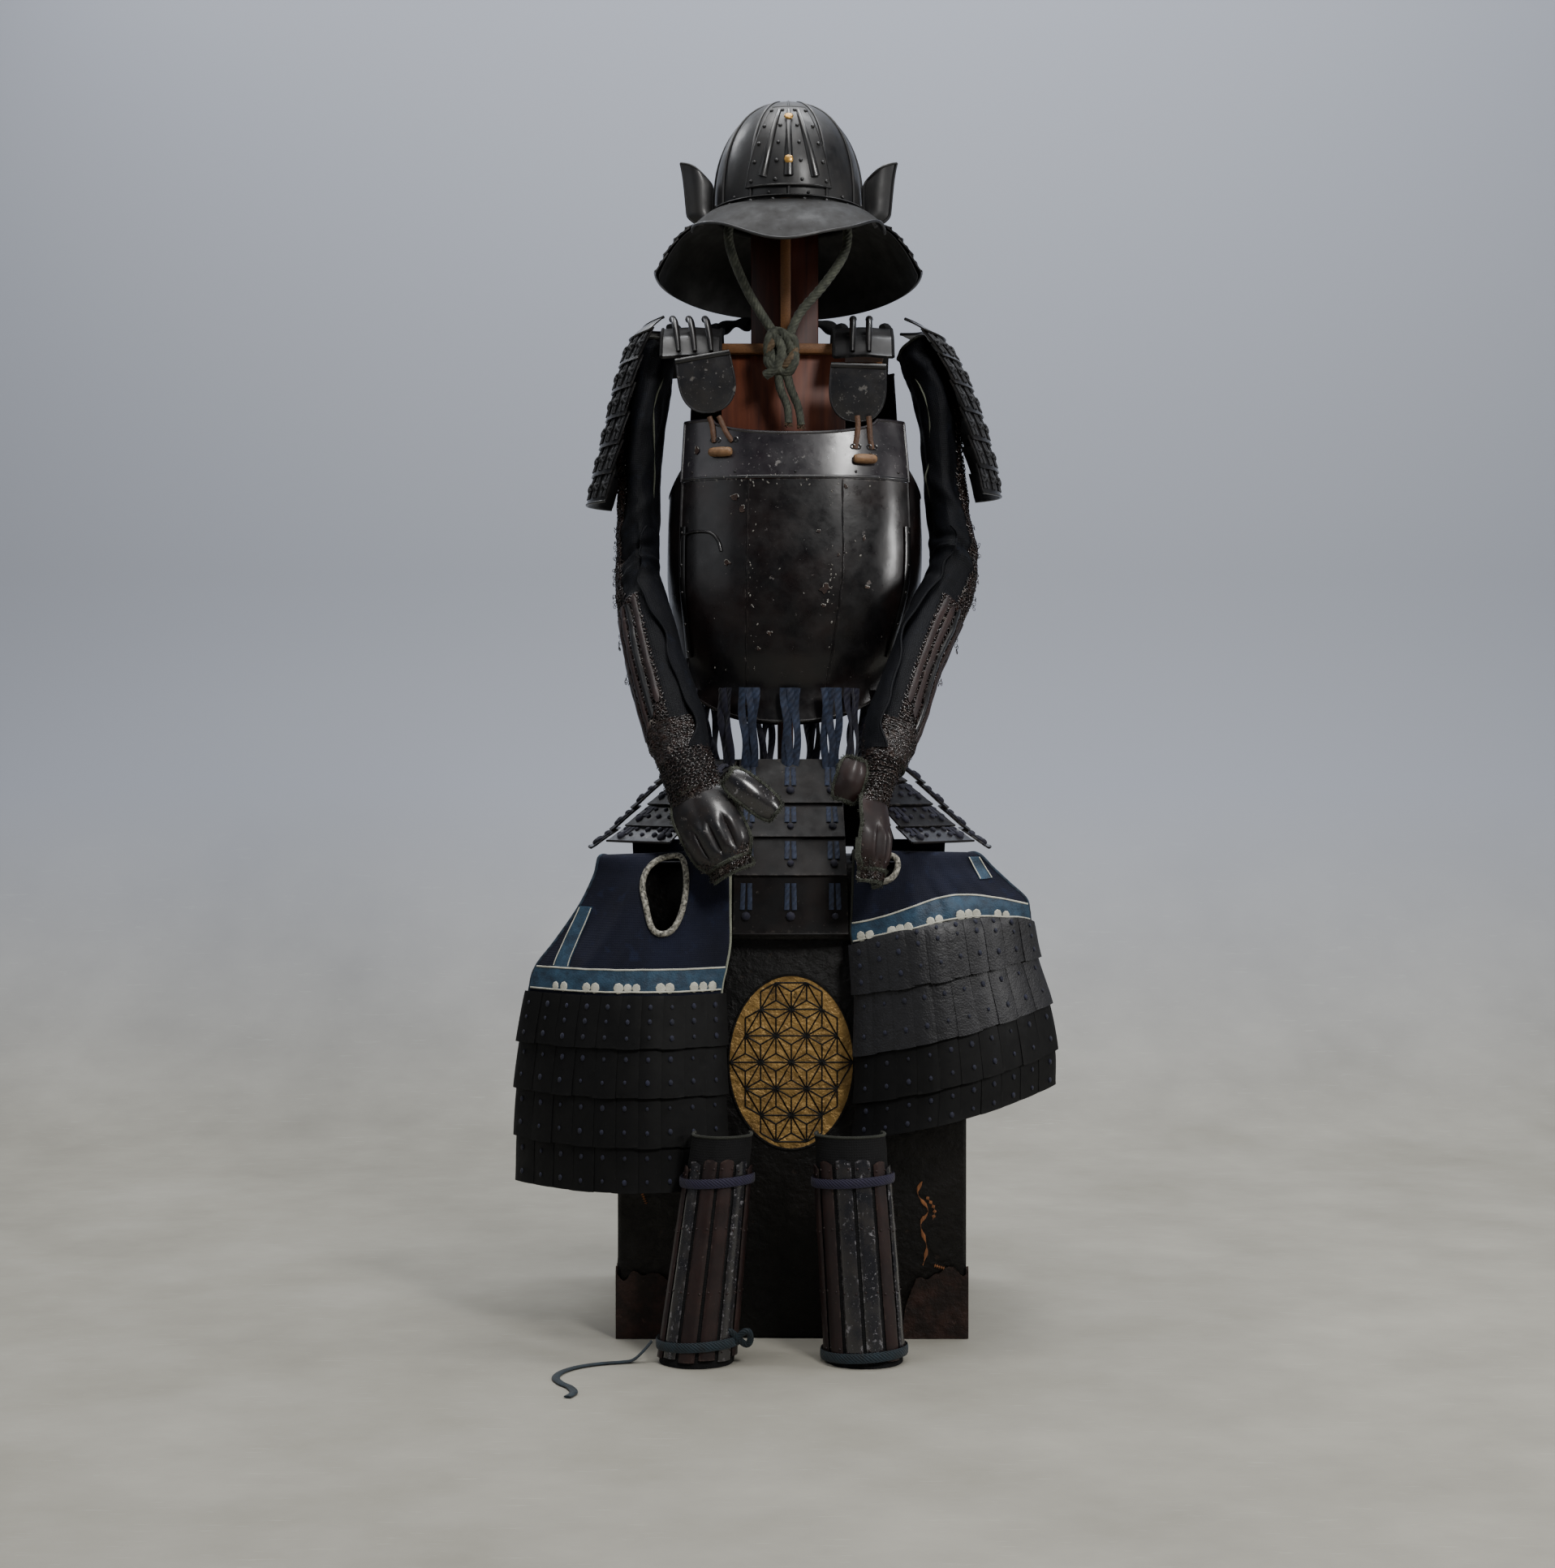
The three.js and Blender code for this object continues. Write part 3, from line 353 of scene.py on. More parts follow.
def start_material(name, roughness, metallic=0.0, **sockets):
    material = bpy.data.materials.new(name)
    material.use_nodes = True
    tree = material.node_tree
    shader = tree.nodes["Principled BSDF"]
    shader.inputs["Roughness"].default_value = roughness
    shader.inputs["Metallic"].default_value = metallic
    for key, value in sockets.items():
        shader.inputs[key.replace("_", " ")].default_value = value
    place = node(tree, "TexCoord", out=3)
    return material, tree, shader, place


def relief(tree, shader, height, depth_mm):
    """Adds height, from 0 to 1, to the shader's surface as relief of that depth."""
    under = shader.inputs["Normal"].links[0].from_socket if shader.inputs["Normal"].links else None
    inputs = {"Height": height, "Strength": 1.0, "Distance": depth_mm * MM}
    if under:
        inputs["Normal"] = under
    tree.links.new(node(tree, "Bump", inputs), shader.inputs["Normal"])


def old_lacquer(name, dark, brown, worn, roughness, chips=0.66, size=60, coat=0.35, metallic=0.0,
                shine=0.5, wrinkle=0.0):
    """Urushi lacquer over iron or hide: satin, browned in patches, rubbed along its edges and chipped."""
    material, tree, shader, place = start_material(
        name, roughness, metallic, Coat_Weight=coat, Coat_Roughness=0.18, Specular_IOR_Level=shine)
    edge = node(tree, "Attribute", out=2, attribute_name="edge")
    brownish = patches(tree, place, size, 0.42, 0.68)
    fine = patches(tree, place, 7, 0.35, 0.75, 8.0)
    base = blend(tree, brownish, dark, brown)
    rubbed = times(tree, edge, node(tree, "MapRange", {0: fine, 3: 0.1, 4: 1.0}))
    rubbed = node(tree, "MapRange", {0: rubbed, 1: 0.42, 2: 0.95, 4: 0.8})
    chip = patches(tree, place, 16, chips, chips + 0.04, 9.0)
    pits = patches(tree, place, 3.5, chips + 0.03, chips + 0.09, 3.0)
    bare = node(tree, "Math", {0: chip, 1: pits}, operation="MAXIMUM")
    colour = blend(tree, rubbed, base, worn)
    colour = blend(tree, times(tree, bare, 0.6), colour, worn)
    tree.links.new(colour, shader.inputs["Base Color"])
    hazed = patches(tree, place, 24, 0.3, 0.7, 6.0)
    dull = node(tree, "MapRange", {0: hazed, 3: roughness - 0.07, 4: roughness + 0.16})
    tree.links.new(dull, shader.inputs["Roughness"])
    relief(tree, shader, patches(tree, place, 40, 0.2, 0.8, 2.0), 0.35)
    if wrinkle:
        relief(tree, shader, patches(tree, place, 15, 0.38, 0.62, 5.0), wrinkle)
    relief(tree, shader, fine, 0.05)
    relief(tree, shader, node(tree, "Math", {0: 1.0, 1: bare}, operation="SUBTRACT"), 0.15)
    return material


def woven(name, dark, light, thread=1.2, sheen=0.05, faded=None, rough_size=70, dust="#6b665c",
          roughness=0.85, shine=0.3):
    """Plain-woven hemp or cotton: soft, its threads showing, with a faint nap, faded and dusty in patches."""
    material, tree, shader, place = start_material(
        name, roughness, Sheen_Weight=sheen, Sheen_Roughness=0.4, Specular_IOR_Level=shine)
    flat = node(tree, "UVMap", uv_map="flat")
    cloud = patches(tree, place, rough_size, 0.3, 0.72)
    colour = blend(tree, cloud, dark, light)
    if faded:
        colour = blend(tree, patches(tree, place, 24, 0.58, 0.8, 7.0), colour, faded)
    specks = patches(tree, place, 2.6, 0.68, 0.74, 2.0)
    colour = blend(tree, times(tree, specks, 0.35), colour, dust)
    tree.links.new(colour, shader.inputs["Base Color"])
    warp, weft = (threads(tree, flat, thread, way, 0.6) for way in "XY")
    relief(tree, shader, times(tree, warp, weft), 0.3)
    relief(tree, shader, patches(tree, place, 9, 0.2, 0.8, 6.0), 0.5)
    return material


def braided(name, dark, light, slant=2.6, mottle=10):
    """Flat braided silk or cotton tape: fine slanting plaits, rubbed paler in patches."""
    material, tree, shader, place = start_material(name, 0.75, Sheen_Weight=0.08)
    flat = node(tree, "UVMap", uv_map="flat")
    plait = threads(tree, flat, slant, "DIAGONAL", 1.5)
    worn = patches(tree, place, mottle, 0.35, 0.7, 6.0)
    colour = blend(tree, worn, dark, light)
    colour = blend(tree, node(tree, "MapRange", {0: plait, 3: 0.0, 4: 0.35}), colour, dark)
    tree.links.new(colour, shader.inputs["Base Color"])
    relief(tree, shader, plait, 0.5)
    return material


def sawn_wood(name, dark, light, ring=9.0, roughness=0.55, stretch=(1, 1, 0.08), depth=0.15):
    """Boards with the grain along their length, stained and lightly varnished."""
    material, tree, shader, place = start_material(name, roughness)
    long = node(tree, "Mapping", {"Vector": place, "Scale": stretch})
    grain = node(tree, "TexNoise", {"Vector": long, "Scale": 1000 / ring, "Detail": 8.0, "Distortion": 0.6})
    colour = node(tree, "ValToRGB", {0: grain}, stops=[(0.32, dark), (0.68, light)])
    tree.links.new(colour, shader.inputs["Base Color"])
    relief(tree, shader, grain, depth)
    return material


def plain_leather(name, dark, light, roughness=0.6, grain=2.2, coat=0.0):
    """Tanned hide: a fine pebbled grain and a cloudy dye."""
    material, tree, shader, place = start_material(name, roughness, Coat_Weight=coat, Coat_Roughness=0.3)
    pebble = node(tree, "TexVoronoi", {"Vector": place, "Scale": 1000 / grain})
    cloud = patches(tree, place, 14, 0.3, 0.72, 6.0)
    colour = blend(tree, cloud, dark, light)
    tree.links.new(colour, shader.inputs["Base Color"])
    relief(tree, shader, pebble, 0.3)
    relief(tree, shader, cloud, 0.5)
    return material


cuirass_lacquer = old_lacquer(
    "smoked_lacquer_on_iron", "#0b090b", "#180f0e", "#6a6360", 0.31, 0.67, 70, 0.3, shine=0.42)
upper_lacquer = old_lacquer(
    "rubbed_purple_grey_lacquer", "#1c191e", "#262025", "#85817f", 0.3, 0.635, 34, 0.55)
dark_lacquer = old_lacquer("black_lacquer_on_iron", "#09090a", "#110e0e", "#3a3736", 0.34, 0.72)
helmet_iron = old_lacquer(
    "blackened_hammered_iron", "#101012", "#191716", "#54524f", 0.46, 0.68, 30, 0.12)
russet_iron = old_lacquer(
    "russet_lacquered_splint", "#1c1010", "#2c1a17", "#54463f", 0.5, 0.66, 40, 0.12, shine=0.35)
grey_iron = old_lacquer("worn_steel_splint", "#1f1f23", "#2b2725", "#8b888d", 0.24, 0.61, 24, 0.7)
# The peak's iron: darker and more matte than the bowl's.
peak_iron = old_lacquer(
    "darker_matte_peak_iron", "#0a0a0b", "#13100e", "#3d3a37", 0.6, 0.66, 24, 0.0, shine=0.3)
hand_iron = old_lacquer(
    "worn_hand_iron", "#131317", "#201816", "#6a6564", 0.36, 0.62, 22, 0.3, shine=0.4)
undercoat = old_lacquer(
    "brown_undercoat", "#221613", "#30201a", "#5a4a40", 0.6, 0.62, 9, 0.0, shine=0.3)
bright_chip = old_lacquer(
    "bright_broken_lacquer_edge", "#77746f", "#57534f", "#c6c3bd", 0.35, 0.6, 6, 0.2)
box_lacquer = old_lacquer(
    "worn_lacquer_on_wood", "#070606", "#0e0a08", "#2a1f18", 0.5, 0.66, 120, 0.0, shine=0.28,
    wrinkle=1.1)
corner_lacquer = old_lacquer(
    "browned_lacquer_corner", "#1b110d", "#33201a", "#4f3b30", 0.55, 0.64, 26, 0.0, shine=0.3,
    wrinkle=0.9)
tasset_lacquer = old_lacquer(
    "tasset_lacquer", "#09080a", "#140d0c", "#4d4844", 0.48, 0.66, 40, 0.0, shine=0.26)
scale_hide = old_lacquer(
    "black_lacquered_rawhide", "#070708", "#0d0d0d", "#1d1d1c", 0.55, 0.75, 30, 0.0, shine=0.22)
strap_hide = old_lacquer(
    "lacquered_strap_hide", "#0b0b0d", "#141213", "#4c4a49", 0.42, 0.66, 26, 0.12, shine=0.4)
# A near-black, matte lacquer that is painted shade: it darkens the insides under the helmet's rim and neck
# guard.
painted_shade_lacquer = old_lacquer(
    "black_painted_shade_lacquer", "#050505", "#0a0807", "#141211", 0.7, 0.8, 60, 0.0)
worn_leaf = old_lacquer("grey_worn_iron_leaf", "#1b1b1f", "#252323", "#77736f", 0.34, 0.62, 18)
mail_iron = old_lacquer("rusted_mail_ring", "#150d0b", "#341e16", "#8d867f", 0.4, 0.62, 8)
gold_leaf = old_lacquer(
    "worn_gold_leaf", "#a5834a", "#7f6236", "#1a120b", 0.36, 0.62, 22, 0.0, 0.45, wrinkle=1.6)
gilt_copper = old_lacquer("gilt_copper_stud", "#b98f4a", "#8d6a30", "#e0c58a", 0.3, 0.7, 10, 0.2, 0.7)
indigo_hemp = woven("indigo_dyed_hemp", "#090c1b", "#11162b", 1.4, 0.06, "#1b2440", dust="#3a3d46")
sleeve_hemp = woven(
    "dark_indigo_padded_hemp", "#050609", "#0a0c13", 1.3, 0.0, "#121722", dust="#2b241e",
    roughness=0.66, shine=0.17)
backing_cloth = woven("coarse_black_backing_cloth", "#060607", "#0c0c0e", 1.6, 0.0, dust="#24221f")
edge_cloth = woven("frayed_grey_green_binding", "#1b1c19", "#33352e", 1.2, 0.1, "#45463b")
hand_edge = woven("fuzzy_green_hand_binding", "#2b2e26", "#50534a", 1.2, 0.15, "#62645a", rough_size=14)
pale_braid = woven("pale_green_white_piping", "#7d8173", "#b3b5a5", 1.0, 0.1, "#5b5d51")
dull_braid = woven("soiled_green_piping", "#3a3d35", "#6f7264", 1.0, 0.0, "#2c2e28")
white_leather = plain_leather("white_printed_leather", "#a9a89a", "#d6d4c6", 0.6, 1.2)
mottled_braid = braided("black_and_white_braid", "#1c1b1a", "#d3cfc0", 3.2, 3.4)
blue_edge = braided("blue_leather_edge", "#13202e", "#263e52", 3.0)
blue_leather = plain_leather("blue_dyed_leather", "#16293b", "#2d4e66")
pebbled_hide = plain_leather("pebbled_black_scale_hide", "#101013", "#1a1a1f", 0.5, 2.6, 0.08)
blue_lace = braided("rubbed_blue_lacing", "#131a2c", "#2a3853")
navy_lace = braided("deep_navy_lacing", "#09091a", "#13132f")
scale_lace = braided("navy_scale_knots", "#0c0f20", "#181c38")
dark_lace = braided("blackened_lacing", "#090a0e", "#15171f")
purple_tape = braided("violet_woven_tape", "#14102b", "#1f1a3a", 1.2)
teal_tape = braided("blue_green_woven_tape", "#0a171e", "#142a36", 1.2)
hemp_rope = braided("laid_undyed_hemp", "#2a2d25", "#5b5e50", 1.6)
hemp_tan = braided("laid_tan_hemp", "#453524", "#77654c", 1.6)
mahogany = sawn_wood("mahogany_stained_board", "#2c110a", "#4e2315")
# The stand's mahogany painted lighter: painted light on the front board below the shelf.
painted_lit_mahogany = sawn_wood("mahogany_chest_board_painted_lighter", "#451d10", "#6d3720")
birch = sawn_wood("sawn_birch_plywood", "#4d3019", "#865a31", 2.2, 0.6, (1, 1, 8))
raw_wood = sawn_wood("split_raw_wood", "#5d3a22", "#a2683d", 3.0, 0.8)
tie_leather = plain_leather("brown_thong_leather", "#38220f", "#60402a")
toggle_horn = plain_leather("pale_brown_toggle", "#5a3f29", "#9a7652", 0.5, 4.0)


# ---------- the camera, then the cords ----------

# The camera stands 3.38 m in front, at the height of the waist, and looks down by half a degree.
VIEW = {"x": -19, "y": -3377, "z": 753, "focal": 55.9, "tip": 0.5}


def set_camera():
    lens = bpy.data.cameras.new("camera")
    lens.lens = VIEW["focal"]
    lens.sensor_width = 36
    camera = bpy.data.objects.new("camera", lens)
    camera.location = (VIEW["x"] * MM, VIEW["y"] * MM, VIEW["z"] * MM)
    camera.rotation_euler = (math.radians(90 - VIEW["tip"]), 0, 0)
    bpy.context.scene.collection.objects.link(camera)
    bpy.context.scene.camera = camera


set_camera()

# The chin cord's two strands down to the knot, their tails below it, and the loose tie on the floor.
LEFT_STRAND = [(-80, -52, 1497), (-86, -62, 1474), (-80, -72, 1440), (-60, -78, 1392), (-38, -80, 1355),
               (-24, -80, 1333.5)]
RIGHT_STRAND = [(68, -52, 1497), (76, -62, 1474), (70, -72, 1440), (44, -78, 1400), (12, -80, 1362),
                (-2, -80, 1333.5)]
LEFT_TAIL = [(-17, -80, 1292), (-16, -78, 1262), (-6, -77, 1236), (-4, -77, 1213)]
RIGHT_TAIL = [(-9, -80, 1292), (-2, -79, 1262), (9, -78, 1234), (13, -78, 1210)]
LOOSE_TIE = [(-268, -500, 2.1), (-262, -480, 2.1), (-268, -456, 2.1), (-282, -434, 2.1), (-290, -408, 2.1),
             (-284, -380, 2.1), (-266, -356, 2.1), (-240, -340, 2.1), (-214, -332, 2.1), (-200, -329, 4),
             (-187, -327, 15), (-177, -325, 27)]
# The loose tie's width, the chin cord's thickness, and its half thickness where it turns in the knot.
TIE = 10.0
CORD = 13.5
KNOTTED = 7.0
KNOT = np.array([-14, -81, 1308])
# The knot's turns: half width, half height, tilt and material. Then the strand that crosses over them.
TURNS = [(17, 29, 14, hemp_rope), (15, 23, -38, hemp_rope), (19, 17, 62, hemp_tan), (12, 26, 4, hemp_rope)]
CROSSING = [(-30, -84, 1334), (-14, -90, 1314), (-20, -88, 1288), (-36, -82, 1276)]


def knot_loops():
    """The chin knot's turns: an overhand lump that the two strands make round each other."""
    knot = Piece("chin_knot_turns")
    for k, (wide, high, tilt, material) in enumerate(TURNS):
        ring = []
        for step in range(26):
            a = step * 360 / 26
            x, z, y = wide * cos(a), high * sin(a), 5.5 * sin(2 * a + 60 * k)
            ring.append(KNOT + (x * cos(tilt) - z * sin(tilt), y, x * sin(tilt) + z * cos(tilt)))
        knot.sweep(ring, KNOTTED, material, 12, lobes=3, twist=0.28, closed=True)
    knot.sweep(route(CROSSING, 20), KNOTTED, hemp_rope, 12, lobes=3, twist=0.28)
    return knot.done("hemp_cord", "chin_knot")


def frayed(name, tips, material):
    """Loose fibres that spread from a cord's cut end."""
    fringe = Piece(name)
    draw = random.Random(7)
    for x, y, z in tips:
        for _ in range(26):
            right, back = draw.uniform(-6, 6), draw.uniform(-5, 5)
            drop = draw.uniform(6, 12)
            bend = draw.uniform(-3, 3)
            root = (x + right * 0.4, y + back * 0.4, z + 5)
            middle = (x + right * 0.7 + bend, y + back * 0.7, z - drop / 2 + 2)
            tip = (x + right * 1.1, y + back, z - drop + 6)
            fringe.sweep(route([root, middle, tip], 5), 0.5, material, 4)
    return fringe.done("hemp_cord")


def chin_cord():
    knot = knot_loops()
    for side, strand, tail in (("left", LEFT_STRAND, RIGHT_TAIL), ("right", RIGHT_STRAND, LEFT_TAIL)):
        line = route(strand + [(-14, -80, 1312)] + tail, 60)
        cord = Piece(f"chin_cord_{side}_rope")
        cord.sweep(line, CORD / 2, hemp_rope, 14, lobes=3, twist=0.2,
                   taper=lambda t: 1.0 - 0.2 * smooth(0.7, 1, t))
        rope = cord.done("hemp_cord", f"chin_cord_{side}")
        fringe = frayed(f"chin_cord_{side}_fray", [tail[-1]], hemp_tan)


chin_cord()


def loose_tie():
    line = route(LOOSE_TIE, 90)
    loose = Piece("shin_tie_left_tape")
    loose.sweep(line, TIE / 2, teal_tape, 10, flat=0.3, up=(0, 0, 1))
    thing = loose.done("blue_tape", "shin_tie_left")
    path = [tuple(p * MM) for p in line[::-1]]
    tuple(path[0])


loose_tie()


# ---------- what repeats ----------


def set_on_points():
    """The node tree that sets a small shape on every point, turned and sized by the point's own values."""
    tree = bpy.data.node_groups.new("set_on_points", "GeometryNodeTree")
    sockets = [("Geometry", "Geometry"), ("Shape", "Object"), ("Surface", "Material"), ("Jitter", "Float"),
               ("Seed", "Int")]
    for name, kind in sockets:
        tree.interface.new_socket(name, in_out="INPUT", socket_type="NodeSocket" + kind)
    tree.interface.new_socket("Geometry", in_out="OUTPUT", socket_type="NodeSocketGeometry")
    given = tree.nodes.new("NodeGroupInput").outputs
    shape = node(tree, "GeometryNodeObjectInfo", {"Object": given["Shape"]}, out="Geometry")
    turn = node(tree, "GeometryNodeInputNamedAttribute", {"Name": "turn"}, data_type="FLOAT_VECTOR")
    size = node(tree, "GeometryNodeInputNamedAttribute", {"Name": "size"}, data_type="FLOAT_VECTOR")
    drawn = node(tree, "FunctionNodeRandomValue", {2: -1.0, 3: 1.0, 8: given["Seed"]}, out=1)
    grow = node(tree, "Math", {0: drawn, 1: given["Jitter"], 2: 1.0}, operation="MULTIPLY_ADD")
    scale = node(tree, "VectorMath", {0: size, "Scale": grow}, operation="SCALE")
    inputs = {"Points": given["Geometry"], "Instance": shape, "Rotation": turn, "Scale": scale}
    placed = node(tree, "GeometryNodeInstanceOnPoints", inputs)
    real = node(tree, "GeometryNodeRealizeInstances", {"Geometry": placed})
    coated = node(tree, "GeometryNodeSetMaterial", {"Geometry": real, "Material": given["Surface"]})
    tree.links.new(coated, tree.nodes.new("NodeGroupOutput").inputs["Geometry"])
    return tree


points_tree = set_on_points()


def small_shape(kind, material):
    """A rivet's head, a lacing knot, a mail ring or a flat bar, about 2 units across."""
    shape = Piece(kind)
    if kind == "dome":
        shape.sweep([(0, 0, -0.4), (0, 0, 0.1), (0, 0, 0.45), (0, 0, 0.6)], 1.0, material, 8,
                    taper=lambda t: (1.0, 1.0, 0.72, 0.2)[round(3 * t)])
    if kind == "knot":
        for side in (-1, 1):
            bend = ((1, -0.1), (0.5, 0.35), (0, 0.5), (-0.5, 0.35), (-1, -0.1))
            line = [(-side * t, t, z) for t, z in bend]
            shape.sweep(line, 0.42, material, 6)
    if kind == "ring":
        shape.sweep([(cos(60 * k), sin(60 * k), 0) for k in range(6)], 0.2, material, 3, closed=True)
    if kind == "fibre":
        shape.sweep([(0, -1, 0), (0, 1, 0)], 1.0, material, 3, up=(0, 0, 1))
    if kind == "bar":
        shape.sweep([(0, -1, 0), (0, 1, 0)], 1.0, material, 4, flat=0.6, up=(0, 0, 1))
    return shape.make()


def repeated(name, kind, rows, material, jitter=0.08, seed=3):
    """One piece of small shapes, each spot being its place, its outward and downward ways and its size."""
    base = bpy.data.meshes.new(name)
    base.from_pydata([tuple(np.array(row[0]) * MM) for row in rows], [], [])
    turns = []
    sizes = []
    for _, outward, down, size in rows:
        z = Vector(outward).normalized()
        x = (-Vector(down)).cross(z).normalized()
        turns.append(Matrix((x, z.cross(x), z)).transposed().to_euler())
        sizes.append(size if hasattr(size, "__len__") else (size, size, size))
    for label, values in (("turn", turns), ("size", sizes)):
        layer = base.attributes.new(label, "FLOAT_VECTOR", "POINT")
        layer.data.foreach_set("vector", np.array([tuple(v) for v in values], np.float32).ravel())
    thing = bpy.data.objects.new(name, base)
    bpy.context.scene.collection.objects.link(thing)
    shape = small_shape(kind, material)
    values = {"Shape": shape, "Surface": material, "Jitter": jitter, "Seed": seed}
    setter = thing.modifiers.new("set", "NODES")
    setter.node_group = points_tree
    for item in points_tree.interface.items_tree:
        if item.in_out == "INPUT" and item.name in values:
            setter[item.identifier] = values[item.name]
    seen = thing.evaluated_get(bpy.context.evaluated_depsgraph_get())
    plain = bpy.data.meshes.new_from_object(seen)
    thing.modifiers.clear()
    thing.data = plain
    plain.name = name
    bpy.data.objects.remove(shape)
    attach(thing, "root")
    return thing


def trace(face, start, end, steps, lift=0.0, inward=1):
    """Points on a straight line across a surface, lifted off it, with its outward way at each."""
    places = [spot(face, mix(start[0], end[0], k / steps), mix(start[1], end[1], k / steps), lift, inward)
              for k in range(steps + 1)]
    return np.array([p[0] for p in places]), np.array([p[1] for p in places])


def tape(piece, face, start, end, steps, width, material, lift=1.2, thick=1.6, inward=1):
    line, up = trace(face, start, end, steps, lift, inward)
    piece.sweep(line, width / 2, material, 8, flat=thick / width, up=up)


# Each border of a surface, as its first and last corner in shares across and down.
BORDERS = {"top": ((0, 0), (1, 0)), "low": ((0, 1), (1, 1)),
           "start": ((0, 0), (0, 1)), "end": ((1, 0), (1, 1))}


def hem(piece, face, borders, radius, material, steps=40, inward=1, flat=1.0, sides=7):
    """A rolled or bound edge along the named borders of a surface."""
    for border in borders.split():
        start, end = BORDERS[border]
        line, up = trace(face, start, end, steps, -0.8, inward)
        piece.sweep(line, radius, material, sides, flat=flat, up=up if flat != 1.0 else None)


def walled(name, face, across, down, material, slot, *nodes, edges=(), thick=IRON):
    """A piece of one wall. Each of its edges is its borders, its radius, its material and its steps."""
    piece = Piece(name)
    piece.shell(face, across, down, thick, material)
    for borders, radius, edging, steps in edges:
        hem(piece, face, borders, radius, edging, steps)
    return piece.done(slot, *nodes)


def creased(creases, x, y):
    """Ridges and troughs: each is a line from (x0, y0) to (x1, y1), with its width and its height."""
    total = 0.0
    for x0, y0, x1, y1, width, height in creases:
        dx, dy = x1 - x0, y1 - y0
        t = min(max(((x - x0) * dx + (y - y0) * dy) / (dx * dx + dy * dy), 0.0), 1.0)
        gap = math.hypot(x - x0 - t * dx, y - y0 - t * dy)
        total += height * math.exp(-(gap / width) ** 2)
    return total


# ---------- overlapping lames ----------


def lame_faces(edges, step, where, over=6.0, bulge=0.6):
    """The faces of overlapping lames down a table of lower edges (out, z), each proud of the next."""
    faces = []
    count = len(edges) - 1
    for k in range(count):
        high, low = np.array(edges[k][:2], float), np.array(edges[k + 1][:2], float)
        along = (low - high) / np.linalg.norm(low - high)
        proud = np.array([-along[1], along[0]])
        top = high - proud * step / 2 - along * (over if k else 0)
        end = low + proud * step / 2

        def face(u, v, top=top, end=end, proud=proud, k=k):
            out, z = mix(top, end, v) + proud * (bulge * sin(180 * v) + 0.9 * smooth(0.86, 1.0, v))
            return where(out, z, u, (k + v) / count)

        faces.append(face)
    return faces


def lay_lames(piece, faces, across, material, thick=IRON, inward=1, down=6):
    for face in faces:
        piece.shell(face, across, down, thick, material, inward=inward)


# ---------- the armour box ----------


# Half the body's and the lid's width and depth, with their heights, and how low the lid's edge hangs.
BODY = (228, 200, 611)
LID = (236, 204, 620)
LID_EDGE = 520
# The gilt oval on the front: its middle across and up, its half width and half height.
OVAL = (-1, 362, 82, 114)


def crest_bars(x, z, half, tall, size):
    """The hemp-leaf lattice of bars inside an oval, as spots."""
    bars = []
    rows = size * math.sqrt(3) / 2

    def inside(p):
        return ((p[0] - x) / half) ** 2 + ((p[1] - z) / tall) ** 2 < 1

    def bar(a, b):
        reach = np.linalg.norm(b - a) / 2
        way = (b - a) / (2 * reach)
        across, up = (a + b) / 2
        return (across, -BODY[1] - 2, up), (0, -1, 0), (-way[0], 0, -way[1]), (1.0, reach, 0.8)

    for j in range(-5, 6):
        for i in range(-5, 6):
            corner = np.array([x + (i + 0.5 * (j % 2)) * size, z + j * rows])
            for tip in (np.array([size / 2, rows]), np.array([-size / 2, rows])):
                other = np.array([-size / 2, rows]) if tip[0] > 0 else np.array([-size, 0])
                third = (corner + corner + tip + corner + other) / 3
                ends = [(corner, corner + tip), (corner, corner + other)]
                ends += [(third, q) for q in (corner, corner + tip, corner + other)]
                bars += [bar(a, b) for a, b in ends if inside(a) and inside(b)]
    return bars


# Where the box's front has split: places across and up along each split.
SPLITS = [
    [(170, 206), (164, 190), (178, 168), (168, 150), (176, 120), (171, 96)],
    [(176, 186), (186, 170), (184, 156)],
    [(-196, 190), (-190, 176)],
    [(186, 96), (200, 92)],
]


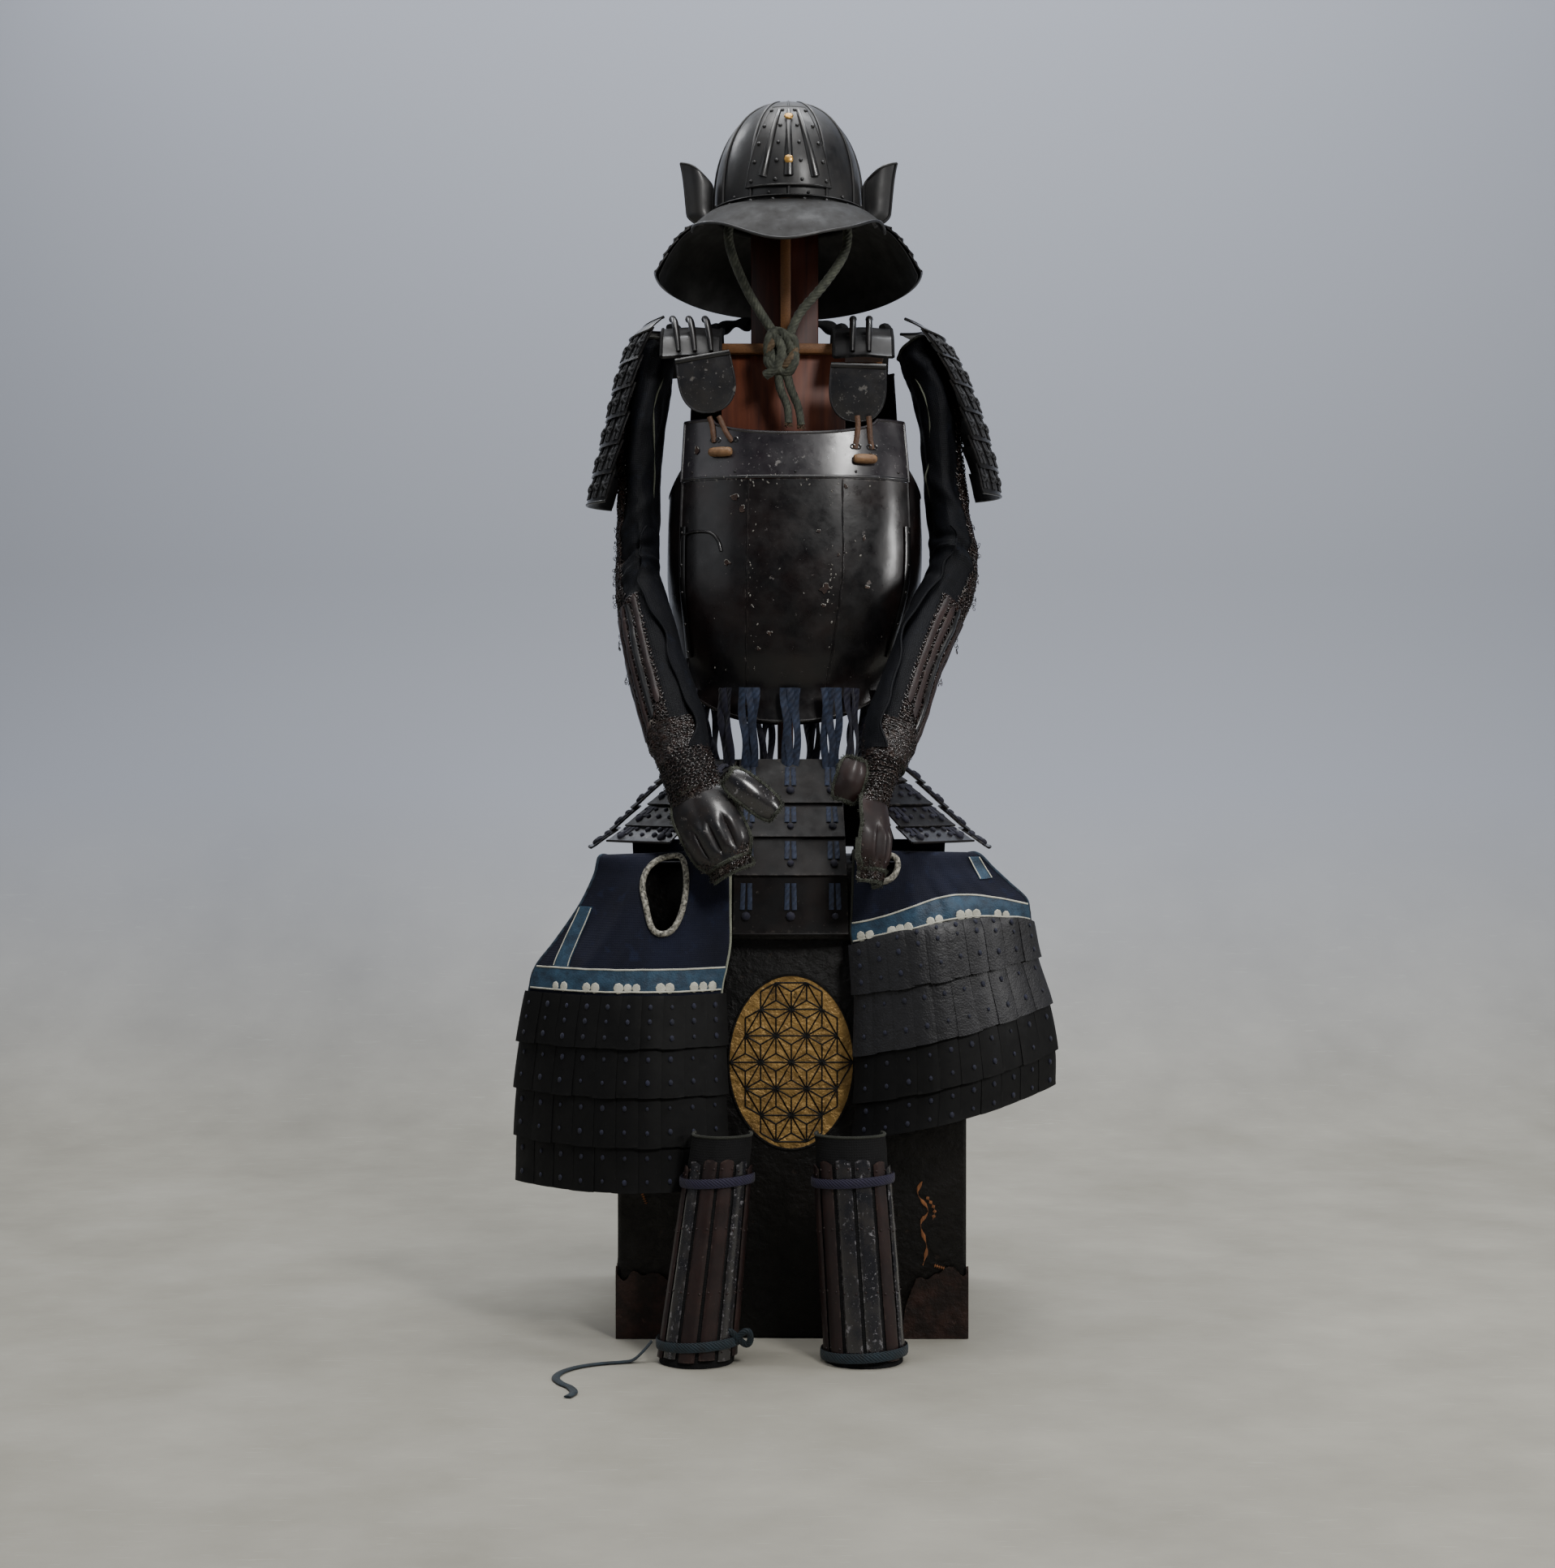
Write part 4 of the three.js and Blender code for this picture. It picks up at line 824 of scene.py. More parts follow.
def armour_box():
    body = Piece("box_carcass")
    body.block((-BODY[0], -BODY[1], 0), BODY, box_lacquer, 5)
    body.done("box_lacquer", "box_body")
    lid = Piece("box_cover")
    lid.block((-LID[0], -LID[1], LID_EDGE), LID, box_lacquer, 5)
    lid.done("box_lacquer", "box_lid")
    corners = Piece("box_corner_guards")
    for sx in (-1, 1):
        for sy in (-1, 1):
            def face(u, v, sx=sx, sy=sy):
                s = mix(-1, 1, u) * 84 * (1 - 0.35 * v ** 3)
                top = 86 * (1 + 0.22 * rough(s, 5 * sx, 5 * sy, 13))
                x, y = BODY[0] + 1.2 - max(-s, 0), BODY[1] + 1.2 - max(s, 0)
                return np.array([sx * x, sy * y, mix(0.8, top, v)])

            corners.shell(face, 64, 12, 1.6, corner_lacquer, inward=-sx * sy)
    corners.done("box_lacquer")
    splits = Piece("box_splits")
    for places in SPLITS:
        line = route([(x, -BODY[1] - 0.4, z) for x, z in places], 24)
        splits.sweep(line, 2.6, raw_wood, 6, flat=0.2, up=(0, -1, 0),
                     taper=lambda t: 0.04 + 0.96 * abs(sin(900 * t + 30)) ** 3)
    splits.done("box_lacquer")
    gilt = Piece("box_gilt_oval")
    x, z, half, tall = OVAL
    rim = [(x + half * cos(k * 6), -BODY[1] - 1.2, z + tall * sin(k * 6)) for k in range(60)]

    def oval(u, v):
        r = max(v, 0.02)
        across, up = x + half * r * sin(360 * u), z + tall * r * cos(360 * u)
        beaten = 1.5 * abs(rough(across, 0, up, 9)) + 0.8 * abs(rough(across, 9, up, 4))
        return np.array([across, -BODY[1] - 1.4 - beaten * (1 - v), up])

    gilt.shell(oval, 90, 36, 0.9, gold_leaf, wrap=True, inward=-1)
    gilt.sweep(rim, 1.6, box_lacquer, 6, closed=True)
    gilt.done("box_lacquer")
    bars = crest_bars(x, z, half - 1, tall - 1, 40)
    repeated("box_oval_lattice", "bar", bars, box_lacquer, 0.0)


# ---------- the wooden stand ----------


# The stand's pieces: name, slot, node, wood, and each board's lowest and highest corner and its soft edge.
BOARDS = [
    ("stand_upright", "stand_mahogany", ["stand_post"], mahogany,
     [((-19, 30, 620.4), (3, 60, 1092), 1), ((-56, 30, 1090), (38, 44, 1500), 1.2)]),
    ("stand_fin", "stand_plywood", [], birch,
     [((-15, -37, 1326.4), (-1, 31, 1500), 0.6), ((-15, -37, 1498), (-1, 70, 1612), 0.6)]),
    ("stand_cross_shelf", "stand_plywood", ["stand_shelf"], birch,
     [((-150, -45, 1313), (128, 29.6, 1326), 0.6), ((-150, 44.4, 1313), (128, 72, 1326), 0.6)]),
    # The front board takes the lighter mahogany, which is painted light.
    ("stand_front_board", "stand_mahogany", ["stand_chest_board"], painted_lit_mahogany,
     [((-96, -32, 1130), (74, -18, 1312.6), 1.2)]),
]


def stand():
    for name, slot, nodes, wood, boards in BOARDS:
        piece = Piece(name)
        for low, high, soft in boards:
            piece.block(low, high, wood, soft)
        piece.done(slot, *nodes)


# ---------- the helmet ----------


# The bowl: its middle across and deep, its half width, its depth before and behind, and its lowest and
# highest levels.
BOWL_X, BOWL_Y = -4, 8
BOWL_HALF, BOWL_FRONT, BOWL_BACK = 102, 118, 122
RIM, CROWN = 1510, 1666
# How far round from the front the peak reaches to each side, in degrees.
PEAK_SPAN = 72


def bowl_point(a, t, out=0.0):
    swell = math.sqrt(max(1 - max(t, 0) ** 2.6, 0))
    depth = BOWL_FRONT if cos(a) > 0 else BOWL_BACK
    x, y = (BOWL_HALF * swell + out) * sin(a), (depth * swell + out) * cos(a)
    return np.array([BOWL_X + x, BOWL_Y - y, mix(RIM, CROWN, t)])


def bowl_face(u, v):
    a = 360 * u
    p = bowl_point(a, 0.995 * sin(90 * (1 - v)))
    dent = 0.5 * rough(*p, 30)
    return p + unit(p - np.array([BOWL_X, BOWL_Y, 1540])) * dent


def peak_face(u, v):
    a = mix(-PEAK_SPAN, PEAK_SPAN, u)
    rim = bowl_point(a, 0)
    out = v * mix(28, 78, max(cos(a), 0) ** 1.6)
    arch = (6 * sin(2 * a) ** 2 + 29 * sin(a * 90 / PEAK_SPAN) ** 2) * v
    wave = (1.5 * sin(9 * a) - 7 * cos(a) ** 30 + 4 * sin(2 * a) ** 4) * v ** 3
    z = RIM - 1 - 62 * v ** 1.35 + arch + wave
    return np.array([rim[0] + out * sin(a) * 1.05, rim[1] - out * max(cos(a), 0), z])


# The edges of the neck guard's lames, from the top down: out from the bowl, height and droop behind.
GUARD = [(3, 1508, 0), (22, 1500, 3), (41, 1490, 6), (56, 1474, 11), (70, 1453, 18), (81, 1430, 27)]


def guard_place(out, z, u, v):
    a = mix(83, 277, u)
    rim = bowl_point(a, 0)
    low = np.interp(v * 5, range(6), [row[2] for row in GUARD]) * max(-cos(a), 0)
    return np.array([rim[0] + out * sin(a), rim[1] - 0.8 * out * cos(a), z - low])


def turnback_face(side):
    def face(u, v):
        s = mix(-1, 1, u)
        inner = 104 + 5 * max(4 * v - 3, 0) ** 2
        outer = 138 + 11 * v ** 3 + 3 * sin(180 * v) - 20 * max(1 - 5 * v, 0) ** 2
        z = mix(1500, 1567, v) + s * mix(-9, 12, v) + 5 * sin(180 * u) * v * v
        return np.array([BOWL_X + side * mix(inner, outer, u), -13 - 9 * cos(80 * s), z])

    return face


def front_plate_face(u, v):
    s = mix(-1, 1, u)
    wide = 56 * (1 - 0.35 * v)
    level = (mix(1527, 1644, v) - RIM) / (CROWN - RIM)
    return bowl_point(0.62 * s * wide, level) - np.array([0, 4.6, 0])


def helmet():
    bowl = Piece("helmet_bowl_plates")
    bowl.shell(bowl_face, 96, 28, IRON, helmet_iron, wrap=True)
    for k in range(12):
        a = 30 * k
        line = [bowl_point(a, 0.985 * sin(90 * t), 1.0) for t in np.linspace(0.02, 0.94, 24)]
        bowl.sweep(line, 2.2, helmet_iron, 6, taper=lambda t: 1 - 0.45 * t)
    # A black tube of painted shade under the back and sides of the bowl's rim, where the neck guard hangs.
    painted_shade_rim = [bowl_point(a, 0, 0.5) - np.array([0, 0, 3.0]) for a in range(74, 287, 4)]
    bowl.sweep(painted_shade_rim, 4.5, painted_shade_lacquer, 8)
    base = [bowl_point(a, 0.02, 0.8) for a in range(0, 360, 6)]
    bowl.sweep(base, 4.6, helmet_iron, 8, flat=0.45, closed=True)
    knob = [(BOWL_X, BOWL_Y, z) for z in (1657, 1661, 1664, 1666, 1668.5, 1670)]
    bowl.sweep(knob, 15, helmet_iron, 20, taper=lambda t: (1.0, 1.05, 0.7, 0.72, 0.45, 0.2)[round(5 * t)])
    bowl.done("iron_black", "helmet_bowl")
    walled("helmet_brow_peak", peak_face, 90, 20, peak_iron, "iron_black", "helmet_peak",
          edges=[("low", 2.0, helmet_iron, 90)])
    guard = Piece("neck_guard_lames")
    faces = lame_faces(GUARD, 3.5, guard_place, 5)
    lay_lames(guard, faces, 60, dark_lacquer)
    hem(guard, faces[-1], "low", 1.8, dark_lacquer, 72)
    guard.done("iron_lacquer", "neck_guard")

    # A matte black skin just inside the neck guard's lames: painted shade in the guard's hollow.
    def underside(u, v):
        out, z, _ = section(np.array(GUARD, float), v)
        return guard_place(out - 3.4, z - 3.6, 0.004 + 0.992 * u, v)

    walled("neck_guard_underside", underside, 60, 12, painted_shade_lacquer, "iron_lacquer", thick=0.8)
    knots = []
    for face in faces[1:]:
        knots += spots(face, np.linspace(0.03, 0.97, 24), (0.45,), 0.8, (2.6, 3.2, 2.4))
    repeated("neck_guard_lacing", "knot", knots, navy_lace)
    for label, side in (("left", -1), ("right", 1)):
        face = turnback_face(side)
        ear = Piece(f"helmet_ear_{label}")
        ear.shell(face, 16, 24, IRON, helmet_iron, inward=-side)
        hem(ear, face, "start end low", 1.7, helmet_iron, 24)
        ear.done("iron_black", f"helmet_turnback_{label}")
    brow = Piece("helmet_brow_plate")
    brow.shell(front_plate_face, 24, 16, IRON, helmet_iron, inward=-1)
    for u in (0.2, 0.5, 0.8):
        line, _ = trace(front_plate_face, (u, 0.1), (mix(u, 0.5, 0.25), 0.93), 12, 1.6, -1)
        brow.sweep(line, 6.5, dark_lacquer, 8, flat=0.5, up=(0, -1, 0), taper=lambda t: 1 - 0.6 * t)
    hem(brow, front_plate_face, "top low start end", 1.6, helmet_iron, 30, -1)
    brow.done("iron_black", "helmet_front_plate")
    rivets = spots(peak_face, (0.16, 0.3, 0.42, 0.58, 0.7, 0.84), (0.05,), 0.3, 3.0)
    rivets += [(bowl_point(a, 0.05, 2.2), (sin(a), -cos(a), 0.1), (0, 0, -1), 2.2)
               for a in range(15, 360, 30)]
    rivets += spots(front_plate_face, (0.06, 0.35, 0.65, 0.94), (0.06, 0.28, 0.5, 0.72, 0.94), 0.6, 2.7, -1)
    repeated("helmet_rivets", "dome", rivets, helmet_iron)
    discs = spots(front_plate_face, (0.5,), (0.28, 0.82), 3.6, (6.5, 6.5, 2.6), -1)
    repeated("helmet_gilt_discs", "dome", discs, gilt_copper, 0.0)


# ---------- the cuirass ----------

# The cuirass at each height: height, middle across, half width, and depth before and behind.
TORSO = np.array([
    (1330, 3, 160, 100, 104),
    (1215, 4, 167, 110, 122),
    (1133, 5, 173, 124, 130),
    (1000, 4, 175, 134, 132),
    (900, -3, 157, 127, 121),
    (850, -7, 145, 119, 113),
    (800, -9, 139, 115, 110),
], float)
# Round from the front in degrees: where the planks meet, where the breast ends and where the sides end.
SEAM, BREAST_END, SIDE_END = 17.7, 60, 120
# How square the cuirass is round its middle, where 1 is a plain oval.
SQUARE = 0.85
# The heights of the upper plate's lower edge and of the planks' top.
UPPER_EDGE, PLANK_TOP = 1133.3, 1132.7


def torso(a, z, out=0.0):
    _, x, half, front, back = section_at(TORSO, z)
    depth = front if cos(a) > 0 else back
    dent = out + 0.5 * rough(x + half * sin(a), depth * cos(a), z, 45)
    return np.array([x + (half + dent) * power(sin(a), SQUARE), -(depth + dent) * power(cos(a), SQUARE), z])


def angle_at(x, z):
    _, middle, half, _, _ = section_at(TORSO, z)
    return math.degrees(math.asin(power((x - middle) / half, 1 / SQUARE)))


def front_bottom(a):
    return 856 - 47 * max(cos(1.5 * a), 0) ** 0.8


def rim_flare(v):
    return 7 * max((v - 0.87) / 0.13, 0)


def breast_top_face(u, v):
    a = mix(-BREAST_END, BREAST_END, u)
    return torso(a, mix(1215 - 20 * max(cos(2.4 * a), 0) ** 0.5, UPPER_EDGE, v), 1.5)


def plank_face(start, end):
    def face(u, v):
        a = mix(start, end, u)
        return torso(a, mix(PLANK_TOP, front_bottom(a), v), rim_flare(v))

    return face


def side_face(start, end):
    def face(u, v):
        a = mix(start, end, u)
        return torso(a, mix(1152 - 34 * sin(180 * u), 856, v), rim_flare(v))

    return face


def back_face(u, v):
    a = mix(SIDE_END + 0.3, 360 - SIDE_END - 0.3, u)
    return torso(a, mix(1300 - 30 * sin(180 * u) ** 4, front_bottom(180 - a), v), rim_flare(v))


# Where the lacquer has flaked off: across, up, how wide and how tall.
FLAKES = [
    (-76, 1108, 11, 7), (-66, 1092, 7, 8), (36, 1062, 5, 4), (62, 1030, 3, 4), (44, 985, 13, 10),
    (72, 1122, 4, 7), (-86, 1020, 8, 6), (42, 962, 5, 5), (100, 988, 6, 4), (-44, 905, 4, 4),
    (108, 1166, 9, 5), (-30, 926, 6, 4), (-126, 1176, 6, 10), (96, 1052, 3, 8),
]
# The hooked ridge at the left of the breast: across and up along it.
RIDGE = [(-148, 1004), (-148, 1052), (-143, 1061), (-126, 1064), (-108, 1061), (-98, 1050), (-94, 1036)]


def chip(piece, x, z, wide, tall, draw):
    """A ragged bare patch, with the broken lacquer standing bright along part of its edge."""
    corners = 11
    reach = [draw.uniform(0.45, 1.25) for _ in range(corners)]
    lift = 2.6 if z > UPPER_EDGE else 0.9

    def ring(u):
        r = reach[round(corners * u) % corners]
        return x + r * wide * cos(360 * u), z + r * tall * sin(360 * u)

    def face(u, v):
        px, pz = (mix(middle, edge, max(v, 0.02)) for middle, edge in zip((x, z), ring(u)))
        return torso(angle_at(px, pz), pz, lift)

    piece.shell(face, corners, 2, 0.5, undercoat, wrap=True, inward=-1)
    edge = [face(k / corners, 1) for k in range(draw.randint(4, 8))]
    piece.sweep(route(edge, 16), 0.8, bright_chip, 5, taper=lambda t: 0.2 + 0.8 * abs(sin(400 * t + 40)))


def cuirass():
    top = Piece("breast_upper_plate")
    top.shell(breast_top_face, 72, 12, IRON, upper_lacquer)
    hem(top, breast_top_face, "top start end", 2.4, upper_lacquer, 90)
    tape(top, breast_top_face, (0.01, 0.965), (0.99, 0.965), 90, 4, worn_leaf, 0.3, 1.6)
    top.done("iron_lacquer", "breast_top")
    planks = [
        ("left", -BREAST_END, -SEAM, "start"),
        ("centre", -SEAM, SEAM, ""),
        ("right", SEAM, BREAST_END, "end"),
    ]
    for name, start, end, rim in planks:
        walled(f"breast_{name}_plank", plank_face(start + 0.15, end - 0.15), 30, 48, cuirass_lacquer,
              "iron_lacquer", f"breast_plank_{name}",
              edges=[("low", 1.7, cuirass_lacquer, 48), (rim, 2.6, cuirass_lacquer, 60)])
    near, far = BREAST_END + 0.3, SIDE_END - 0.3
    for name, start, end in (("left", -far, -near), ("right", near, far)):
        walled(f"side_{name}_plate", side_face(start, end), 30, 36, cuirass_lacquer, "iron_lacquer",
              f"side_plate_{name}", edges=[("top low", 2.0, cuirass_lacquer, 40)])
    walled("back_shell", back_face, 60, 36, cuirass_lacquer, "iron_lacquer", "back_plate",
          edges=[("top low", 2.0, cuirass_lacquer, 90)])
    strips = Piece("cuirass_hinge_strips")
    rivets = []
    for a in (-57, 57, -122, 122):
        line = [torso(a, z, 1.6) for z in np.linspace(1072, 895, 30)]
        up = np.tile((sin(a), -cos(a), 0), (30, 1))
        strips.sweep(line, 7, dark_lacquer, 8, flat=0.2, up=up)
        for z in (1064, 1020, 983, 940, 903):
            rivets.append((torso(a, z, 3.0), (sin(a), -cos(a), 0), (0, 0, -1), 2.2))
    ridge = [torso(angle_at(x, z), z, 1.2) for x, z in RIDGE]
    strips.sweep(route(ridge, 40), 2.2, cuirass_lacquer, 8)
    strips.done("iron_lacquer")
    flakes = Piece("cuirass_lacquer_flakes")
    draw = random.Random(11)
    for x, z, wide, tall in FLAKES:
        chip(flakes, x, z, wide * 0.6, tall * 0.6, draw)
    flakes.done("iron_lacquer")
    seams = Piece("cuirass_seam_beads")
    for a in (-SEAM, SEAM):
        line = [torso(a + 0.5 * rough(z, a, 3, 22), z, 0.3) for z in np.linspace(1131, 845, 60)]
        seams.sweep(line, 1.3, cuirass_lacquer, 6, taper=lambda t: 0.7 + 0.5 * abs(sin(1500 * t)))
    seams.done("iron_lacquer")
    rivets += spots(breast_top_face, (0.08, 0.3, 0.5, 0.7, 0.92), (0.86,), 0.6, 1.7)
    repeated("cuirass_rivets", "dome", rivets, cuirass_lacquer)
    specks = []
    for k in range(96):
        x = draw.choice((-52, 52, -52, 52, draw.uniform(-110, 110))) + draw.gauss(0, 3)
        z = draw.uniform(870, 1128) if k % 3 else draw.uniform(1123, 1139)
        if k % 3 == 0:
            x = draw.uniform(-120, 120)
        a = angle_at(x, z)
        size = draw.uniform(0.35, 0.95)
        place = torso(a, z, 2.2 if z > 1133 else 0.4)
        specks.append((place, (sin(a), -cos(a), 0), (draw.uniform(-1, 1), 0, -1), (size, 1.8 * size, 0.8)))
    repeated("cuirass_worn_specks", "dome", specks, bright_chip, 0.4)


# ---------- the shoulder straps, leaves and ties ----------

# The straps' path over the shoulder, as depth and height, their width and thickness.
STRAP_PATH = [(112, 1304), (98, 1328), (50, 1345), (-20, 1350), (-66, 1334), (-92, 1302)]
STRAP_WIDTH, STRAP_THICK = 80, 4


def strap(label, x, tilt):
    def face(u, v):
        y, z = section(np.array(STRAP_PATH, float), v)
        s = mix(-0.5, 0.5, u)
        ripple = 1.2 * cos(360 * s) + 1.2 * sin(360 * v * 5)
        return np.array([x + s * STRAP_WIDTH, y, z + s * tilt + ripple])

    band = Piece(f"shoulder_strap_{label}_band")
    band.shell(face, 12, 60, STRAP_THICK, strap_hide)
    hem(band, face, "start end", 2.4, backing_cloth, 50)
    band.done("strap_leather", f"shoulder_strap_{label}")
    rolls = Piece(f"strap_rolls_{label}")
    lean, places = (11, (-27, -5, 17)) if label == "left" else (-2, (-13, 9))
    for shift in places:
        line = [(x + shift + lean * t, mix(-52, -99, t), 1356 - 50 * t * t + 3 * sin(180 * t))
                for t in np.linspace(0, 1, 24)]
        rolls.sweep(line, 4.6, dark_lacquer, 12,
                    taper=lambda t: 0.35 + 0.65 * sin(180 * min(max(t, 0.06), 0.94)) ** 0.4)
        rolls.sweep(line[:4], 5.4, worn_leaf, 10, taper=lambda t: 0.5 + 0.5 * t)
    for shift in (-1, 1):
        line = [(x + shift * 30 + 6 * sin(200 * t), 70 - 90 * t, 1350 + 6 * sin(160 * t))
                for t in np.linspace(0, 1, 16)]
        rolls.sweep(line, 8, backing_cloth, 12, taper=lambda t: 0.6 + 0.4 * sin(180 * t))
    rolls.done("strap_leather")
    collar = Piece(f"collar_pad_{label}")
    way = 1 if label == "left" else -1
    line = [(x + way * (34 + 44 * t), 64 - 24 * t, 1362 + 8 * sin(150 * t)) for t in np.linspace(0, 1, 18)]
    collar.sweep(line, 10, backing_cloth, 12, taper=lambda t: 0.75 + 0.25 * sin(500 * t))
    pad = collar.done("black_cloth")


# Each strap leaf's half width and length, and how far its lower end lies back, in degrees.
LEAF_HALF, LEAF_LONG, LEAF_LEAN = 36, 76, 10


def leaf(label, x, z, tilt):
    place = Matrix.Translation((x, -101, z)) @ Matrix.Rotation(math.radians(tilt), 4, "Y")
    place = place @ Matrix.Rotation(math.radians(LEAF_LEAN), 4, "X")

    def face(u, v):
        s = mix(-1, 1, u)
        wide = LEAF_HALF * max(1 - max(v - 0.3, 0) ** 3.2 / 0.32, 0.002) ** 0.5 * (1 + 0.04 * sin(180 * v))
        bend = 1.5 * (1 - s * s) + 1.5 * sin(180 * v)
        return np.array(place @ Vector((s * wide, -bend, -LEAF_LONG * v)))

    piece = Piece(f"strap_leaf_{label}_plate")
    piece.shell(face, 32, 32, 2.2, worn_leaf)
    hem(piece, face, "start end", 1.8, worn_leaf, 32)
    bar = [tuple(place @ Vector((t, 1, -1))) for t in np.linspace(-LEAF_HALF - 1, LEAF_HALF + 1, 8)]
    piece.sweep(bar, 4.2, dark_lacquer, 12)
    piece.done("iron_black", f"strap_leaf_{label}")


def on_breast(x, z, out=1.9):
    return torso(angle_at(x, z), z, 1.5 + out)


def strap_tie(label, x, start, end, z):
    tie = Piece(f"strap_tie_{label}_thongs")
    for k, (x0, x1) in enumerate(zip(start, end)):
        line = []
        for t in np.linspace(0, 1, 14):
            sway = 1.2 * sin(250 * t + 90 * k)
            line.append(on_breast(mix(x0, x1, t) + sway, mix(1219, z + 14, t), 2.6 - 1.8 * t ** 4))
        tie.sweep(line, 3.6, tie_leather, 8, flat=0.5, up=(0, -1, 0.1))
    ends = [on_breast(x + t, z, 4.6) for t in np.linspace(-14.5, 14.5, 18)]
    tie.sweep(ends, 6.6, toggle_horn, 14, taper=lambda t: 0.62 + 0.38 * max(sin(180 * t), 0) ** 0.3)
    for x0, x1 in zip(start, end):
        for way in (-4, 4):
            eyelet = on_breast(x1 + way, z + 17, 0.6)
            ring = [eyelet + np.array([3 * cos(a), -0.8, 3 * sin(a)]) for a in range(0, 360, 36)]
            tie.sweep(ring, 0.9, worn_leaf, 5, closed=True)
    tie.done("strap_leather", f"strap_tie_{label}")


# ---------- the tassets ----------

# How far out and how high each lame edge of a panel lies, from the top down.
TASSET_PROFILES = {
    "front": [(124, 759), (160, 699), (196, 655), (220, 606), (223, 531)],
    "corner": [(140, 757), (182, 727), (222, 696), (256, 668), (282, 648)],
    "side": [(150, 759), (187, 724), (219, 690), (248, 660), (276, 636)],
    "back": [(124, 759), (146, 722), (164, 690), (178, 662), (188, 632)],
}
# Each panel: its name, profile, turn, half widths at the top and bottom, and how many laces carry it.
TASSETS = [
    ("front", "front", 0, 68, 75, 3),
    ("front_left", "corner", -46, 37, 62, 2),
    ("front_right", "corner", 46, 37, 62, 2),
    ("side_left", "side", -88, 44, 64, 2),
    ("side_right", "side", 88, 44, 64, 2),
    ("back_left", "back", -148, 52, 66, 2),
    ("back_right", "back", 148, 52, 66, 2),
]


def tasset(name, profile, turned, top, bottom, laces):
    edges = TASSET_PROFILES[profile]
    outward = np.array([sin(turned), -cos(turned), 0])
    across = np.array([cos(turned), sin(turned), 0])

    def place(out, side, z):
        return np.array([-2, 0, z]) + outward * out + across * side

    def where(out, z, u, v):
        s = mix(-1, 1, u)
        return place(out - 5 * s * s, s * mix(top, bottom, v), z)

    faces = lame_faces(edges, 4, where, 7)
    panel = Piece(f"tasset_{name}_lames")
    lay_lames(panel, faces[:-1], 30, tasset_lacquer, 2.4)
    lay_lames(panel, faces[-1:], 30, worn_leaf if profile in ("corner", "side") else tasset_lacquer, 2.4)
    hem(panel, faces[-1], "low", 1.6, tasset_lacquer, 30)
    panel.done("iron_lacquer", f"tasset_{name}")
    cords = Piece(f"tasset_{name}_laces")
    knots = []
    lace = blue_lace if name == "front" else navy_lace
    for k in range(laces):
        side = (k - (laces - 1) / 2) * top * 1.6 / (laces - 1)
        hang = torso(turned + side * 0.4, 852, 10.5)
        clear = math.hypot(hang[0] + 2, hang[1])
        for strand in (-1, 0, 1):
            wave = 97 * k + 140 * strand + turned
            line = []
            up = []
            for t in np.linspace(0, 1, 24):
                sway = 3.2 * sin(wave + 300 * t) * sin(180 * t)
                out = mix(clear + 1, edges[0][0] + 3.5, t ** 2) + 2.2 * sin(wave + 420 * t) * sin(180 * t)
                line.append(place(out, side + strand * mix(9.0, 6.2, t) + sway, mix(853, 745, t)))
                turn = 26 * sin(wave + 360 * t)
                up.append(outward * cos(turn) + across * sin(turn))
            cords.sweep(line, 5.2, lace, 8, flat=0.2, up=np.array(up))
        u = 0.5 + side / (2 * mix(top, bottom, 0.3))
        for face in faces:
            for strand in (-1, 1):
                shift = strand * 4.2 / bottom / 2
                tape(cords, face, (u + shift, 0.2), (u + shift * 1.2, 0.62), 5, 6.4, lace, 1.0, 1.8)
            knots.append((*spot(face, u, 0.72, 1.8), (5.0, 5.0, 4.2)))
    cords.done("iron_lacquer")
    if name != "front":
        for face in faces:
            knots += spots(face, (0.08, 0.3, 0.5, 0.7, 0.92), (0.3, 0.6), 1.4, (3.6, 3.6, 3.0))
    repeated(f"tasset_{name}_knots", "dome", knots, navy_lace, 0.2)


# ---------- the sleeves and hands ----------

SLEEVES = {
    "left": np.array([
        (-181, 6, 1326, 22, 44),
        (-194, 0, 1290, 29, 48),
        (-205, -8, 1223, 32, 48),
        (-209, -12, 1133, 27, 46),
        (-210, -24, 1060, 27, 44),
        (-209, -44, 1005, 28, 43),
        (-198, -84, 952, 33, 41),
        (-178, -140, 879, 36, 39),
        (-153, -194, 800, 38, 35),
        (-140, -222, 748, 32, 30),
    ], float),
    "right": np.array([
        (168, 6, 1326, 22, 44),
        (186, 0, 1290, 28, 48),
        (202, -8, 1223, 27, 48),
        (209, -12, 1133, 26, 46),
        (219, -24, 1060, 30, 45),
        (219, -44, 1010, 31, 43),
        (194, -84, 952, 34, 41),
        (162, -140, 879, 32, 39),
        (132, -194, 800, 34, 35),
        (118, -222, 748, 28, 30),
    ], float),
}
